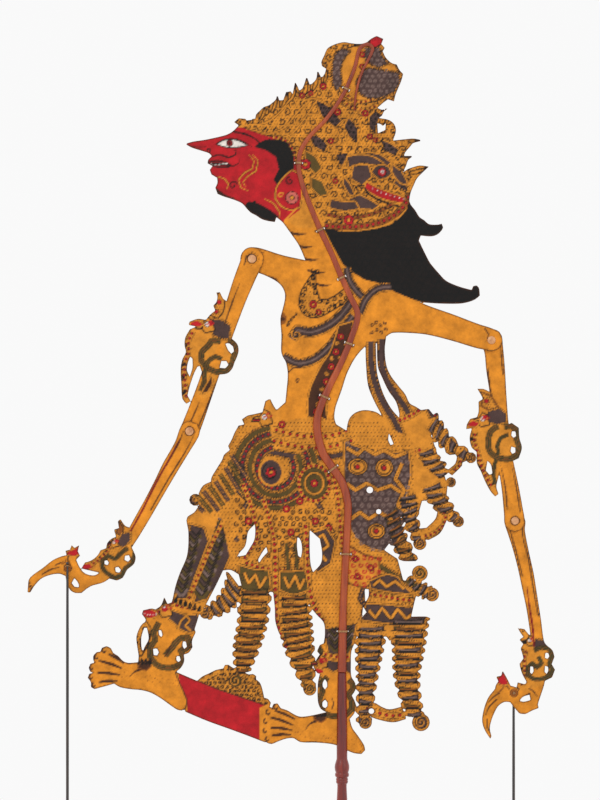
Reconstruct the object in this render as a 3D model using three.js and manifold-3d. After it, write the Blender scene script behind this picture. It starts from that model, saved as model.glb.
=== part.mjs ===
// A flat leather shadow puppet: a painted, perforated rawhide figure clamped between the two halves of a
// horn control rod, with arms of four riveted leather pieces and a thin horn rod hung from each hand.
// The figure stands in the x-z plane and faces -x, its painted front looks along -y, and z runs up.
// The origin is the middle of the flat lower end of the control rod.
import * as THREE from "three";
import { mergeVertices } from "three/addons/utils/BufferGeometryUtils.js";
import Module from "manifold-3d";

const wasm = await Module();
wasm.setup();

// ---- Driving dimensions, millimetres
const HIDE = 1.8; // thickness of the rawhide
const GAP = 0.3; // running gap between neighbouring pieces
const LAYER = HIDE + GAP; // pitch of the stacked leather sheets
const HALF = HIDE / 2;

const PIN_RADIUS = 1.5; // shank of an arm rivet
const RIVET_RADIUS = 3.7; // head of an arm rivet
const RIVET_HEAD = 0.9; // thickness of a rivet head
const WASHER_THICKNESS = 0.6;

const STRIP_THIN = 1.6; // thickness of each rod half over the head and chest
const STRIP_THICK = 3.2; // and from the waist down
const GRIP_TOP = 322; // where the rod halves meet the solid grip
const SLIT_BOTTOM = 246; // lower end of the slit that holds the foot leather
const WAIST_LOW = 560; // the rod halves thin down from here
const WAIST_HIGH = 600; // to here
const THREAD = 1; // diameter of the binding thread
const STITCH_HOLE = 1.9; // side of the square holes that the binding thread passes through

const HAND_ROD_LENGTH = 295;
const HAND_ROD_RADIUS = 1.3;
const HAND_ROD_OFFSET = 8.6; // from the middle of the figure's hide to the axis of a hand rod

const RING_RADIUS = 1.9; // middle radius of the thread ring that carries a hand rod
const RING_TILT = Math.PI / 9; // the ring hangs half way through the tilt of its rod
const RING_RISE = RING_RADIUS * Math.sin(RING_TILT); // from the palm hole up to the middle of the ring

const FOLD_BULGE = 1.6; // how far each fold of a ruffled train stands in or out of its edge

// Joint centres, as [x, z]
const LEFT_SHOULDER = [-81, 694];
const LEFT_ELBOW = [-137.1, 539];
const LEFT_PALM = [-246.5, 417];
const RIGHT_SHOULDER = [134.5, 620.8];
const RIGHT_ELBOW = [155.9, 458.2];
const RIGHT_PALM = [155, 303];

// ---- Solids from three.js geometry
function solid(geometry) {
  geometry.deleteAttribute("normal");
  geometry.deleteAttribute("uv");
  const merged = mergeVertices(geometry, 1e-4);
  return new wasm.Manifold(
    new wasm.Mesh({
      numProp: 3,
      vertProperties: merged.attributes.position.array,
      triVerts: new Uint32Array(merged.index.array),
    }),
  );
}

// A flat list x, z, x, z ... as points
function pairs(flat) {
  const points = [];
  for (let i = 0; i < flat.length; i += 2) points.push(new THREE.Vector2(flat[i], flat[i + 1]));
  return points;
}

// An outline in the x-z plane as a sheet between two depths
function slab(points, front, back) {
  const geometry = new THREE.ExtrudeGeometry(new THREE.Shape(points), {
    depth: back - front,
    bevelEnabled: false,
  });
  geometry.rotateX(Math.PI / 2).translate(0, back, 0);
  return solid(geometry);
}

function join(solids) {
  return solids.reduce((whole, next) => whole.add(next));
}

function cut(body, tools) {
  return tools.reduce((left, tool) => left.subtract(tool), body);
}

function circle([x, z], radius, sides = 10, stretch = 1) {
  const points = [];
  for (let i = 0; i < sides; i++) {
    const angle = (2 * Math.PI * i) / sides;
    points.push(new THREE.Vector2(x + radius * Math.cos(angle), z + radius * stretch * Math.sin(angle)));
  }
  return points;
}

// A turned piece about an axis parallel to y: profile as radius, depth pairs towards +y
function turned([x, z], profile, sides = 20) {
  return solid(new THREE.LatheGeometry(pairs(profile), sides).translate(x, 0, z));
}

// A bent strip given by stations, each an x, z and width: its middle, direction and width at any place
function bentStrip(stations) {
  const middle = [];
  const widths = [];
  for (let i = 0; i < stations.length; i += 3) {
    middle.push(new THREE.Vector3(stations[i], 0, stations[i + 1]));
    widths.push(stations[i + 2]);
  }
  const curve = new THREE.CatmullRomCurve3(middle, false, "centripetal");
  const last = widths.length - 1;
  const at = (station) => {
    const k = Math.min(Math.floor(station), last - 1);
    const point = curve.getPoint(station / last);
    const tangent = curve.getTangent(station / last);
    const width = THREE.MathUtils.lerp(widths[k], widths[k + 1], station - k);
    return { x: point.x, z: point.z, dx: tangent.x, dz: tangent.z, width };
  };
  return { at, last };
}

function stripOutline({ at, last }, divisions) {
  const left = [];
  const right = [];
  for (let i = 0; i <= divisions; i++) {
    const { x, z, dx, dz, width } = at((i / divisions) * last);
    left.push(new THREE.Vector2(x - (dz * width) / 2, z + (dx * width) / 2));
    right.unshift(new THREE.Vector2(x + (dz * width) / 2, z - (dx * width) / 2));
  }
  return [...left, ...right];
}

// The end of a ruffled cloth: two edges that draw together, scalloped by its folds
function train({ left, right, folds }) {
  const a = new THREE.SplineCurve(pairs(left));
  const b = new THREE.SplineCurve(pairs(right));
  const steps = folds * 3;
  const first = [];
  const second = [];
  for (let i = 0; i <= steps; i++) {
    const t = i / steps;
    const p = a.getPoint(t);
    const q = b.getPoint(t);
    const out = p.clone().sub(q).normalize();
    const bulge = FOLD_BULGE * (i % 3 ? 1 : -1);
    first.push(p.addScaledVector(out, bulge));
    second.unshift(q.addScaledVector(out, -bulge));
  }
  return [...first, ...second];
}

// ---- Outlines of the figure's hide, each a flat list of x, z pairs
const CROWN = [
  -97, 817, -94.8, 819, -93, 820.5, -87, 820, -85.5, 818, -83.4, 817.2, -80.4, 820, -78, 820, -77.4,
  823.8,
  -73.8, 827.4, -70.2, 830.7, -66, 832, -61.8, 835.2, -59.2, 838, -58.5, 843, -56.4, 836.4, -52.8, 837,
  -50.4, 844, -46.2, 844.8, -44.4, 842.4, -42.2, 853.4, -39.6, 848.4, -38.4, 845.4, -35.4, 847.8,
  -31.8, 858.3, -28.8, 850.2, -23.4, 855.6, -22.2, 864.3, -18.6, 856.8, -15.6, 860.4, -14.4, 865.2,
  -18, 867.6, -18.6, 871.2, -16, 877, -13.8, 882.4, -10.8, 885, -5.4, 887.4, 1.8, 889, 8.4, 888,
  15.6, 887.4, 21.6, 888.6, 26.4, 892.2, 31.2, 894.6, 37.2, 891.9, 35.4, 887.4, 38.4, 883.8, 36.6, 880.8,
  39.6, 874.8, 45, 870, 49.2, 869, 51.6, 864, 55, 860.4, 53.4, 854.4, 50.4, 847.2, 48, 841.2, 46.8, 835.8,
  41.4, 837.6, 37.2, 834.6, 31.8, 829.8, 36, 828, 42.6, 830.2, 37.8, 826.8, 36, 823, 33, 820.8, 42, 819,
  46.8, 815.4, 48.6, 810, 47.4, 804.6, 45.6, 800.4, 56.4, 801.6, 64.8, 802.2, 72.7, 800.5, 63.6, 798,
  61.8, 795.6, 57, 790, 55.8, 786.6, 64.8, 786.6, 60, 783.6, 57.6, 777.6, 54.6, 771.6, 58.8, 774.6,
  63.6, 776.4, 70.2, 778, 78, 777, 67.8, 766.8, 64.8, 760.8, 61.8, 753.6, 60.5, 745, 55, 734, 47, 728,
  35, 719, -18, 717, -34, 745, -45, 760, -62, 790, -88, 811,
];
const CROWN_HOLE = [31.8, 816, 32.4, 807, 39, 810, 39.4, 816, 36.8, 813.6, 34.8, 815.4];
const FACE = [
  -60, 822, -86, 818.5, -93, 814, -98, 809, -103, 806, -112, 803.5, -124, 801, -134, 799.5, -141, 797.5,
  -136, 794.5, -127, 791.5, -119.5, 789, -117, 786.5, -120.5, 783, -121, 780, -116.5, 777.5, -119, 774,
  -117.5, 770, -112.5, 767, -112, 762.5, -114, 758, -112, 752.5, -106, 750, -98, 747.5, -90, 744, -86,
  739.6,
  -82, 735.5, -78, 733.5, -72, 729.7, -66, 728, -60.5, 727.2, -59, 731.5, -53.5, 727, -45, 724, -20, 722,
  0, 740, -20, 800,
];
const HAIR = [
  -16, 726, 12, 724, 36, 727, 47, 733, 55, 740, 60.6, 746, 61.7, 743, 66, 737.5, 69.8, 731.5, 74, 728.8,
  78, 725.3, 86.5, 724.8, 89.7, 725.6, 91, 722.4, 90, 720, 86, 716, 80.6, 714.3, 70.8, 715, 69.2, 710.5,
  72, 704.5, 76.8, 694.8, 79.5, 690, 88, 680, 93, 674.8, 98.9, 671.6, 107.6, 668.4, 116.7, 666, 118,
  669.4,
  121, 670.3, 123.2, 668, 124, 661, 120, 657.6, 114.6, 655.4, 106.5, 653.8, 88, 653.8, 69.8, 655, 49, 655,
  30, 650, -20, 690,
];
const TORSO = [
  -59, 731.5, -53.5, 727, -49.6, 721.8, -44, 714, -39.5, 707.4, -36.2, 700.7, -33, 692.8,
  -53.5, 697.3, -73.6, 703.6, -81, 704.5, -86, 703.3, -90, 699.5, -91.5, 694, -90, 688.5, -86, 684.5,
  -81, 683, -75, 681.3, -68, 678.6, -59, 673.8, -54, 669, -51.4, 663, -51.6, 656.5, -53.5, 648.4,
  -55.4, 640,
  -54.5, 625, -54.8, 611.4, -53.5, 606.4, -50.4, 600.7, -48.8, 590, -50, 575, -51, 560, -45, 540, 0, 528,
  4, 534, -3.8, 540, -6.9, 551, -5.9, 560, -3, 568.6, 0, 577, 3.8, 589, 6.9, 596, 11.3, 604, 17, 611.4,
  22.7, 616.7, 31, 619, 40.6, 624.6, 45, 627.3, 61, 627.3, 77, 625.7, 99, 620.3, 120.5, 613.8, 128, 612.3,
  134.5, 611, 140.5, 613, 144, 618, 144.2, 623, 141.5, 628.5, 133.5, 632, 122.7, 635.4, 100, 644, 80, 651,
  69, 655.4, 49, 663.5, 34, 672, 20, 675.4, 9.3, 682, 0.6, 689.4, -9, 706.7, -14, 725, -40, 736,
];
const TAIL = [
  4.2, 534.6, 4.2, 541, 6.3, 549.7, 10.7, 554.8, 17, 557.5, 23.3, 557.8, 31, 556, 37.2, 551.6, 41, 546,
  42.5, 538.4, 41.6, 531, 46, 522, 47, 512, 47, 490, -20, 490, -20, 530,
];
const RIBBON_FRONT = [
  21, 622, 21.5, 601, 23.5, 580, 29, 566, 36.7, 551.6, 41.4, 539, 45.3, 530, 48, 523.6, 46, 500, 62, 505,
  68.7, 519.7, 61, 524, 59.4, 533, 57, 542, 52.3, 550, 44.5, 559, 38.3, 570, 33.6, 583, 31.3, 594,
  30.3, 622,
];
const RIBBON_BACK = [
  31.2, 622, 32.3, 597, 36, 587.5, 42, 575, 48.4, 565.7, 51.6, 554.8, 51, 545, 70, 545, 71, 558, 66.4,
  561,
  61, 564, 57, 572, 50.8, 579.7, 43.8, 589, 40, 598, 38.5, 612, 40, 627,
];
const RIBBON_FOOT = [
  50, 551, 71, 558, 78, 559, 86, 549, 80, 536, 84, 524, 92, 500, 95, 490, 94, 480, 72, 476, 68, 462,
  50, 462,
  34, 470, 30, 520, 52, 530,
];
const SKIRT = [
  -50, 575, -51, 565, -59, 558, -61.6, 562, -64.7, 568.3, -69, 566, -71.6, 556, -80.5, 554, -85, 553,
  -90, 549.6, -88, 545, -93, 544, -97, 537, -99, 532, -102.5, 525.7, -101, 522, -106.3, 517.5,
  -107.6, 513.7, -112.6, 505.5, -117.4, 497.4, -118, 493.6, -125, 490, -129, 483, -129, 472, -133, 466,
  -139, 462, -140, 459, -138.2, 447.6, -139.4, 427.4, -146, 411, -149.8, 399.7, -152.3, 388.4,
  -153.8, 383.4, -128, 374, -125.5, 377, -119.5, 388.4, -113, 401, -107, 413.6, -100, 414, -93, 410,
  -90, 398, -62, 394, -60.5, 380, -60, 368, -57, 358, -52, 349, -47.5, 341, -50.5, 352, -53, 364, -54,
  380,
  -54, 392, -32, 390, -28, 380, -23, 374, -16, 366, -15.4, 356, 9.8, 350, 12, 356, 40, 354, 43, 350,
  60, 362, 65.4, 386, 69, 399, 55, 405, 50, 424, 46, 426.6, 38, 432, 44, 440, 44, 462, 50, 489, 47, 513,
  -5, 545, -30, 560,
];
const LEG_HOLE = [
  -78.6, 455, -78, 450, -79, 441, -83, 433.7, -86.8, 427.4, -94.3, 426, -91.8, 430, -87.4, 435, -86, 440,
  -84.3, 448.8,
];
const THIGH_HOLE = [-68, 435, -67, 430, -71.6, 425, -74.8, 420, -75.4, 423.6, -71, 431];
const APRON_HOLE = [-40, 445, -37, 440, -36, 432, -37, 425, -39.5, 427, -40.5, 436];
const HIP_HOLE = [-29, 450, -20, 442, -18, 430, -19, 420, -26, 412, -28, 418, -29, 430];
const HEM_HOLE_HIGH = [20.4, 397, 24, 396.6, 24, 390.6, 21, 384.6];
const HEM_HOLE_LOW = [19, 381, 22, 376, 18, 371.4];

// ---- Ruffled trains of the loincloth: left and right edges downwards, folds, and the curl at the tip
const TRAINS = [
  {
    left: [84, 556, 91, 545, 99, 533, 115, 520],
    right: [76, 540, 84, 530, 94, 521, 112, 511],
    folds: 5,
    curl: [116, 515, 5],
  },
  {
    left: [66, 524, 70, 512, 77, 504, 86, 497],
    right: [82, 526, 86, 517, 93, 509, 95, 500],
    folds: 4,
    curl: [98, 493, 4.7],
  },
  {
    left: [68, 490, 75, 480, 83, 470, 100, 456],
    right: [90, 496, 92, 484, 98, 474, 106, 461],
    folds: 5,
    curl: [104.6, 457.7, 5.3],
  },
  {
    left: [51, 484, 52, 469, 56, 456, 65, 439],
    right: [67, 484, 69, 474, 68, 461, 72, 441],
    folds: 6,
    curl: [70, 438, 6],
  },
  {
    left: [36, 466, 40, 450, 45, 437, 54, 422],
    right: [50, 474, 54, 458, 58, 444, 68, 422],
    folds: 7,
    curl: [70, 411, 7.2],
  },
  {
    left: [-103, 413, -106, 399, -114, 387, -124, 380],
    right: [-90, 396, -94, 384, -106, 375, -122, 370],
    folds: 6,
    curl: [-123, 375, 5],
  },
  {
    left: [-93, 400, -93, 370, -97, 345, -96, 322],
    right: [-64, 400, -67, 370, -74, 345, -84, 322],
    folds: 10,
    curl: [-96, 314.4, 8],
  },
  {
    left: [-57, 394, -56, 366, -50, 340, -34, 307],
    right: [-30, 394, -28, 370, -26, 345, -25, 307],
    folds: 11,
    curl: [-29, 307, 6],
  },
  {
    left: [56, 402, 62, 397, 69, 391, 75, 388],
    right: [60, 409, 69, 404, 76, 401, 82, 397],
    folds: 4,
    curl: [81, 392, 6.3],
  },
  {
    left: [13, 366, 13, 340, 14, 310, 14, 276],
    right: [41, 366, 36, 340, 30, 310, 25, 276],
    folds: 11,
    curl: [21, 277, 6],
  },
  {
    left: [42, 372, 46, 345, 48, 315, 58, 282],
    right: [78, 372, 74, 345, 69, 315, 73, 282],
    folds: 12,
    curl: [71, 277, 8],
  },
];
const LINKS = [
  [87, 470, 93, 466, 94, 458, 88, 447, 78, 441, 66, 443, 66, 451, 76, 452, 84, 460],
  [110, 520, 108, 508, 99, 499, 94, 503, 102, 510, 104, 518],
  [20, 297, 30.6, 294, 35.4, 291, 42.6, 288.6, 54, 291, 58, 280, 46, 277, 30.6, 280, 20, 285],
];

// ---- Feet, the painted ground between them and the half moon above it
const LEFT_FOOT = [
  -157, 383.4, -160, 389.5, -163, 382, -168, 378.5, -171, 379.4, -179, 377.7, -180, 374.3, -176.6, 369.7,
  -177, 367.5, -179.5, 365.7, -182.3, 361.7, -185, 353.8, -184, 343.5, -183, 336.7, -183.5, 331,
  -192.6, 330.4, -197, 332, -201.7, 336.7, -206, 339.5, -208, 343.5, -212, 345.5, -216, 344, -217.5,
  340.5,
  -221, 340, -223.8, 337, -223.8, 333, -222.5, 330.8, -226.5, 329.5, -228, 326, -226.5, 322.5, -224,
  321.5,
  -227.5, 320.5, -228.8, 317, -226.5, 314.2, -225.8, 312, -226, 308.8, -222.8, 306.8, -213, 309.5,
  -205, 311.8, -200, 308.7, -190, 306.8, -181, 306, -172, 303.6, -163, 298.5, -155, 292.8, -148, 288.2,
  -144, 287.6, -140, 290, -140, 295, -142.4, 303.6, -146.4, 312.7, -149.8, 322, -144.7, 326.4, -142, 332,
  -142.4, 338, -138, 339.5, -134.5, 344.6, -135, 350, -131.6, 358, -132.7, 360.6, -130, 369, -128, 376,
  -153, 385,
];
const LEFT_ANKLE_HOLES = [
  [-178, 362, -175.5, 362, -174, 352, -177.5, 345, -179.5, 340, -180.6, 346, -180.5, 354],
  [-165, 360, -162.8, 360, -161.5, 355.5, -162.8, 353.6, -164.5, 355.5],
  [-170, 343, -166.5, 343.5, -164.8, 340, -166.5, 337, -169.5, 337.5],
  [-143, 350, -140.5, 349.5, -139.6, 345, -142, 343, -143.5, 345.5],
  [-149, 336.5, -146.2, 336.5, -145.2, 333, -147, 331.2, -149, 332.5],
];
const GROUND = [
  -151, 323, -130, 314, -110.5, 306, -63, 290, -60, 262, -69.5, 259, -87.7, 266, -100, 270.5, -122, 278.5,
  -141, 286.5, -146, 305,
];
const MOON = [
  -130.5, 314, -126, 318, -119.6, 321, -113.4, 324, -107, 325.3, -105.4, 328.5, -102.4, 328.8, -98, 325.8,
  -91, 323.5, -84, 320, -80, 320.5, -77.2, 318.5, -77.4, 315.5, -74, 312.7, -71.8, 307, -70, 299,
  -66.5, 298, -64, 294.5, -66, 288, -110, 304, -130, 311,
];
const RIGHT_LEG = [
  -17, 372, -15.4, 356, -16.5, 348, -20, 346.5, -22.5, 341, -20, 338, -23, 333.5, -26, 327.5, -22.5,
  321.5,
  -20, 320.5, -21.7, 312, -21.7, 296, -19, 289, -14, 286, -29.3, 282.7, -38, 282, -43, 284, -49.4, 287.7,
  -55, 289.5, -58, 294, -61.5, 293.5, -63, 290.5, -62, 289, -66, 289, -69, 285.5, -68, 281.5, -70.5, 279,
  -70.8, 274, -69, 272, -71.5, 270, -71.3, 266, -69, 264, -69.6, 260, -66.5, 258, -63.3, 257.4, -57, 260,
  -49.4, 262.5, -43, 262.5, -38, 259.3, -21.7, 258.7, -6.6, 256.8, 4.2, 251.8, 11, 249.2, 17.4, 248.4,
  20.8, 251.8, 20, 256, 14.2, 265, 9.2, 272, 7, 280, 11, 285, 13, 291, 11, 297, 8.8, 301, 12, 306, 12,
  312,
  8.5, 318, 8, 330, 8.5, 341, 12, 350, 14.2, 359, 18.7, 372,
];
const RIGHT_ANKLE_HOLES = [
  [-15.4, 316, -13.6, 313, -13.4, 309, -15.4, 306.5, -17.2, 309, -17.2, 313],
  [-15.4, 297.5, -13.2, 295, -13.2, 291.5, -15.4, 289.3, -17.6, 291.5, -17.6, 295],
];
const ROUND_HOLES = [[25, 486, 3], [33, 466.6, 2.4], [26.4, 287, 2.6], [12.6, 315.6, 1.5]]; // x, z, radius
const HIP_CURL = [-132, 477.2, 5.5];

// ---- Arms: limb, bracelets with their openings, and hand
const LEFT_UPPER = {
  limb: [
    -81, 704.5, -86, 703.3, -89.8, 699.5, -91.3, 693, -94.8, 683.4, -99, 671.4, -103.2, 658, -112, 632,
    -126, 592,
    -132, 575.4, -139, 557.4, -143.4, 546.6, -146.3, 539.5, -145, 534, -141, 530.3, -136, 529.6,
    -131.5, 532,
    -127, 541, -118.8, 564.6, -111, 587.4, -97.8, 625.8, -86.4, 655.8, -78, 675, -71, 690.5, -70.6, 697,
    -75, 702.6,
  ],
  trim: [
    [
      -104, 656, -106.8, 658, -109.8, 664, -113, 663.5, -112, 660, -113, 655, -115.8, 652, -114, 647.4,
      -118.8, 643.5, -122.4, 639, -129.6, 640, -137, 637.5, -138, 634.5, -131, 633, -136.8, 630.6,
      -141, 623,
      -141.6, 616, -140.4, 610, -143.4, 604, -145, 596, -144.5, 581, -143.5, 568, -140, 563.6, -136, 566,
      -139, 571, -136.8, 580, -133, 591, -130, 597, -118, 600, -105, 640,
    ],
    [
      -104, 622, -98.4, 621.6, -94.2, 617.4, -93, 611.4, -94.6, 605.4, -96.8, 600.6, -98.4, 595.8,
      -103, 591,
      -110.4, 589.8, -119, 590, -121, 596,
    ],
    [-121, 592, -123, 583, -125, 577, -129, 570, -124, 570.5, -119, 576, -115, 584, -114, 592],
    [-126, 592, -130, 603, -129, 609, -124.8, 613, -124, 619, -118, 623, -108, 622, -108, 596],
  ],
  holes: [
    [-105, 618, -101.5, 618, -98, 615, -97.2, 611, -99.5, 608.5, -102.5, 612],
    [-108.5, 602, -104, 602, -102.2, 598.5, -105, 595.5, -110, 596],
    [-136.5, 606, -134.5, 604, -134.5, 596, -137, 588, -139.5, 594, -138.5, 601],
  ],
};
const LEFT_FORE = {
  limb: [
    -137, 548.3, -142, 546.7, -145.6, 541.8, -150, 529.6, -161, 510, -168, 495.4, -177, 478, -187, 460,
    -194, 447, -199, 440, -203, 425, -212, 414, -217, 412.5, -222, 409.5, -228.3, 410, -232.8, 412.5,
    -236.3, 417.5, -239, 423.4, -235.5, 427, -237.5, 431, -236.3, 436.5, -240.5, 434, -243, 436.5,
    -244.5, 432.5,
    -248.5, 431.5, -247.6, 427.5, -252, 426.6, -260, 423, -269, 416, -277, 410.4, -281.3, 406, -282.2,
    400,
    -282.6, 394, -280.2, 394, -276.5, 400, -270, 406.6, -261.5, 410, -253.5, 410.8, -248.4, 408.7,
    -247.3, 402,
    -244, 396, -239.7, 393.6, -234, 393.6, -230.2, 396.8, -225, 400, -214.6, 403, -209, 406.5, -202.6,
    404.8,
    -197.2, 407.2, -193.2, 414.4, -190, 417, -186.8, 420, -185.5, 425.8, -187.3, 430.8, -189, 434.4,
    -182.7, 444,
    -172.4, 461, -161, 480.6, -149.6, 500, -138, 519, -129, 534, -127.5, 540, -130, 545.6,
  ],
  trim: [
    [
      -190, 452, -195, 454, -199.2, 460, -201.5, 458, -200.5, 452, -205, 450.5, -203, 444, -207, 442.5,
      -211, 438.4,
      -212, 433.8, -217, 432, -220, 427, -226, 422.5, -231, 421, -234.3, 415.6, -226, 413.6, -219, 412,
      -212, 405.5, -196, 412, -190, 430,
    ],
  ],
  holes: [
    [-195, 427, -191.5, 427.5, -190.2, 424, -192.5, 421.5, -195.5, 423.5],
    [-213.5, 422.5, -211, 423, -209.4, 420.5, -211, 418.6, -213.5, 419.5],
    [-204, 416.5, -201, 417, -198.6, 414.2, -200.3, 411.7, -203.4, 412.6],
    [-240.5, 407, -243, 402.5, -240.5, 399.2, -236.5, 398.6, -236.5, 401, -237.6, 403.5],
  ],
};
const RIGHT_UPPER = {
  limb: [
    134.5, 631, 129.5, 630, 126, 626.5, 124.6, 621, 126.5, 615, 128.5, 609, 130, 593.6, 132.4, 578,
    139.7, 517,
    141.4, 503, 144, 485.7, 146, 464, 146.6, 455, 150, 450, 156, 448.3, 161.5, 450.5, 164.6, 456,
    162.3, 472,
    158.8, 491, 153.6, 515, 149.6, 550, 148, 572.7, 146.6, 597, 144.8, 617, 143.8, 625, 140, 629.6,
  ],
  trim: [
    [
      133.5, 574, 127.5, 577, 122, 577, 125, 572, 127, 568, 123, 565.5, 123, 556, 121.5, 551.5, 115.5,
      550,
      112.5, 545, 112, 540.8, 117, 541.5, 115, 532.7, 117, 524, 121.3, 520.4, 121.5, 510, 125, 503,
      129.5, 492.6,
      134, 484.5, 138, 480, 141, 482.5, 139, 489, 141, 498, 143, 512, 146, 545,
    ],
    [
      146, 543, 152.7, 546.5, 159.2, 542, 159.8, 532.7, 162, 524, 159.2, 514.6, 152, 511.2, 141, 511.8,
      138, 520, 140, 545,
    ],
    [142, 511, 132.7, 516, 129.4, 522, 129.4, 534.4, 132.7, 542.4, 145, 545],
  ],
  holes: [
    [153, 539, 156.3, 538.5, 156.8, 534.5, 154.5, 533, 152.5, 535],
    [152.5, 525, 156, 524, 156.3, 520, 153.4, 518.4, 151.8, 521],
    [131, 512, 134, 509, 135.5, 501, 133, 499.5, 129.5, 503.5],
  ],
};
const RIGHT_FORE = {
  limb: [
    156, 468, 150.5, 466.4, 147.4, 462.5, 146.4, 457, 149.7, 446, 153.3, 435, 158.4, 416, 162.7, 396,
    166.3, 378.8,
    169.5, 358, 171, 340, 165, 325, 166, 319.8, 172.8, 314, 170, 308.6, 164, 306, 159.8, 306, 157, 308,
    152, 309.5, 150.6, 312.5, 148.3, 317, 144.8, 323, 143.6, 318.5, 139, 317.5, 141, 313.5, 138.5, 309.5,
    138, 306.8, 132.4, 299.6, 129.2, 292.4, 126.8, 283, 126.6, 276, 129, 269, 133.6, 261.8, 134.8, 264,
    133.2, 271, 134.4, 277.5, 136.8, 284, 141, 291.5, 146.8, 295, 151.6, 294.6, 156, 289, 159.8, 284.6,
    165, 284,
    171, 287, 177.4, 289.5, 176.5, 292.3, 179.2, 301, 182, 309.7, 183, 314, 189.3, 317, 192, 324, 189,
    329,
    191.5, 335.6, 189.6, 341.6, 184.3, 346.2, 182, 350, 179.2, 370, 175.6, 393, 172.8, 410.5, 168.4,
    430.6,
    164.8, 450, 165.3, 458, 162.4, 464.6,
  ],
  trim: [
    [
      174, 352, 169, 355, 164.5, 360.5, 158.5, 361.5, 161, 357, 163.6, 353.5, 160, 351, 163.4, 347,
      161, 343,
      162.5, 338.5, 163.6, 334, 160, 329, 161.6, 322.6, 163.5, 318, 166.5, 312.8, 165, 310.7, 158.4,
      312.5,
      157.6, 308.5, 160, 306, 168, 306, 178, 320, 180, 345,
    ],
  ],
  holes: [
    [183.2, 339.2, 185.8, 339, 187, 336, 185.3, 333.8, 183, 334.6],
    [169.8, 327, 172.2, 326.6, 172.8, 322.6, 171.2, 320, 169.5, 321.5],
    [183, 327.4, 185.6, 326.6, 186, 322.6, 184.5, 320.2, 182.6, 322],
    [160, 296, 163, 299.5, 169, 301.5, 170, 296.5, 163.5, 295],
  ],
};

// ---- Control rod: x, z and width along its middle line
const ROD_NECK = [
  10.8, 827, 2, 13, 845, 2.2, 18, 862, 2.4, 26, 878, 2.8, 27.4, 884.5, 3.2, 22, 887, 3.4, 16, 883, 3.5,
  12, 868, 3.5, 8, 857, 3.6, 0, 840, 3.7, -14, 820, 3.8, -30, 803, 4, -37.5, 790, 4.2, -39, 776, 4.4,
  -36, 762, 4.6, -30, 745, 4.8, -19.5, 720, 5, -10, 700, 5, -2, 681, 5.1, 7, 661, 5.2, 14, 644, 5.4,
  8, 622, 5.5, -1, 600, 5.8, -13, 576, 6.4, -21, 556, 7, -22.5, 542, 7.4, -18, 521, 7.6, -10, 508, 7.6,
  0, 493, 7.4, 5, 475, 7, 5, 460, 6.8, 4, 440, 6.6, 2.5, 410, 6.6, 1, 380, 6.8, 0.5, 350, 7.4,
  0, GRIP_TOP + GAP, 8,
];
// Thread bindings, at fractional stations of ROD_NECK
const TIES = [
  ["tie_crown", 8.6],
  ["tie_brow", 12.7],
  ["tie_nape", 16],
  ["tie_collar", 18.2],
  ["tie_chest", 21.2],
  ["tie_waist", 23.3],
  ["tie_belt", 27.2],
  ["tie_apron", 31.4],
  ["tie_shin", 33.7],
];

// ---- The pieces
const ROD = bentStrip(ROD_NECK);
const slabs = (outlines, front, back) => outlines.map((flat) => slab(pairs(flat), front, back));
const discs = (circles, front, back) => circles.map(([x, z, r]) => slab(circle([x, z], r), front, back));
const bore = (centre, radius, front = -20, back = 20) => slab(circle(centre, radius, 16), front, back);

// Half sizes, across the rod and through the hide, of the space inside a binding loop
function insideLoop(station) {
  const { z, width } = ROD.at(station);
  const taper = THREE.MathUtils.clamp((z - WAIST_LOW) / (WAIST_HIGH - WAIST_LOW), 0, 1);
  const thickness = THREE.MathUtils.lerp(STRIP_THICK, STRIP_THIN, taper);
  return [width / 2 + GAP, HALF + GAP + thickness + GAP];
}

// Stands something made across x, through y and along z on the control rod
function onRod(geometry, station) {
  const { x, z, dx, dz } = ROD.at(station);
  return solid(geometry.rotateY(Math.atan2(dx, dz)).translate(x, 0, z));
}

function stitchHoles([, station]) {
  const reach = insideLoop(station)[0] + THREAD / 2;
  return [-reach, reach].map((offset) => {
    const hole = new THREE.BoxGeometry(STITCH_HOLE, 2 * HIDE, STITCH_HOLE);
    return onRod(hole.translate(offset, 0, 0), station);
  });
}

function bindingLoop([, station]) {
  const [a, b] = insideLoop(station);
  const eight = (w, d, c) =>
    [w, d - c, w - c, d, c - w, d, -w, d - c, -w, c - d, c - w, -d, w - c, -d, w, c - d];
  const shape = new THREE.Shape(pairs(eight(a + THREAD, b + THREAD, 0.6)));
  shape.holes.push(new THREE.Path(pairs(eight(a, b, 0.1))));
  const geometry = new THREE.ExtrudeGeometry(shape, { depth: THREAD, bevelEnabled: false });
  return onRod(geometry.translate(0, 0, -THREAD / 2), station);
}

function figureHide() {
  const outlines = [
    CROWN, FACE, HAIR, TORSO, TAIL, RIBBON_FRONT, RIBBON_BACK, RIBBON_FOOT, SKIRT, ...LINKS, LEFT_FOOT,
    GROUND,
    MOON, RIGHT_LEG,
  ];
  const whole = join([
    ...slabs(outlines, -HALF, HALF),
    ...TRAINS.map((cloth) => slab(train(cloth), -HALF, HALF)),
    ...discs([...TRAINS.map((cloth) => cloth.curl), HIP_CURL], -HALF, HALF),
  ]);
  const openings = [
    CROWN_HOLE, LEG_HOLE, THIGH_HOLE, APRON_HOLE, HIP_HOLE, HEM_HOLE_HIGH, HEM_HOLE_LOW,
    ...LEFT_ANKLE_HOLES,
    ...RIGHT_ANKLE_HOLES,
  ];
  return cut(whole, [
    ...slabs(openings, -HIDE, HIDE),
    ...discs(ROUND_HOLES, -HIDE, HIDE),
    bore(LEFT_SHOULDER, PIN_RADIUS + GAP),
    bore(RIGHT_SHOULDER, PIN_RADIUS + GAP),
    ...TIES.flatMap(stitchHoles),
  ]);
}

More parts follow.
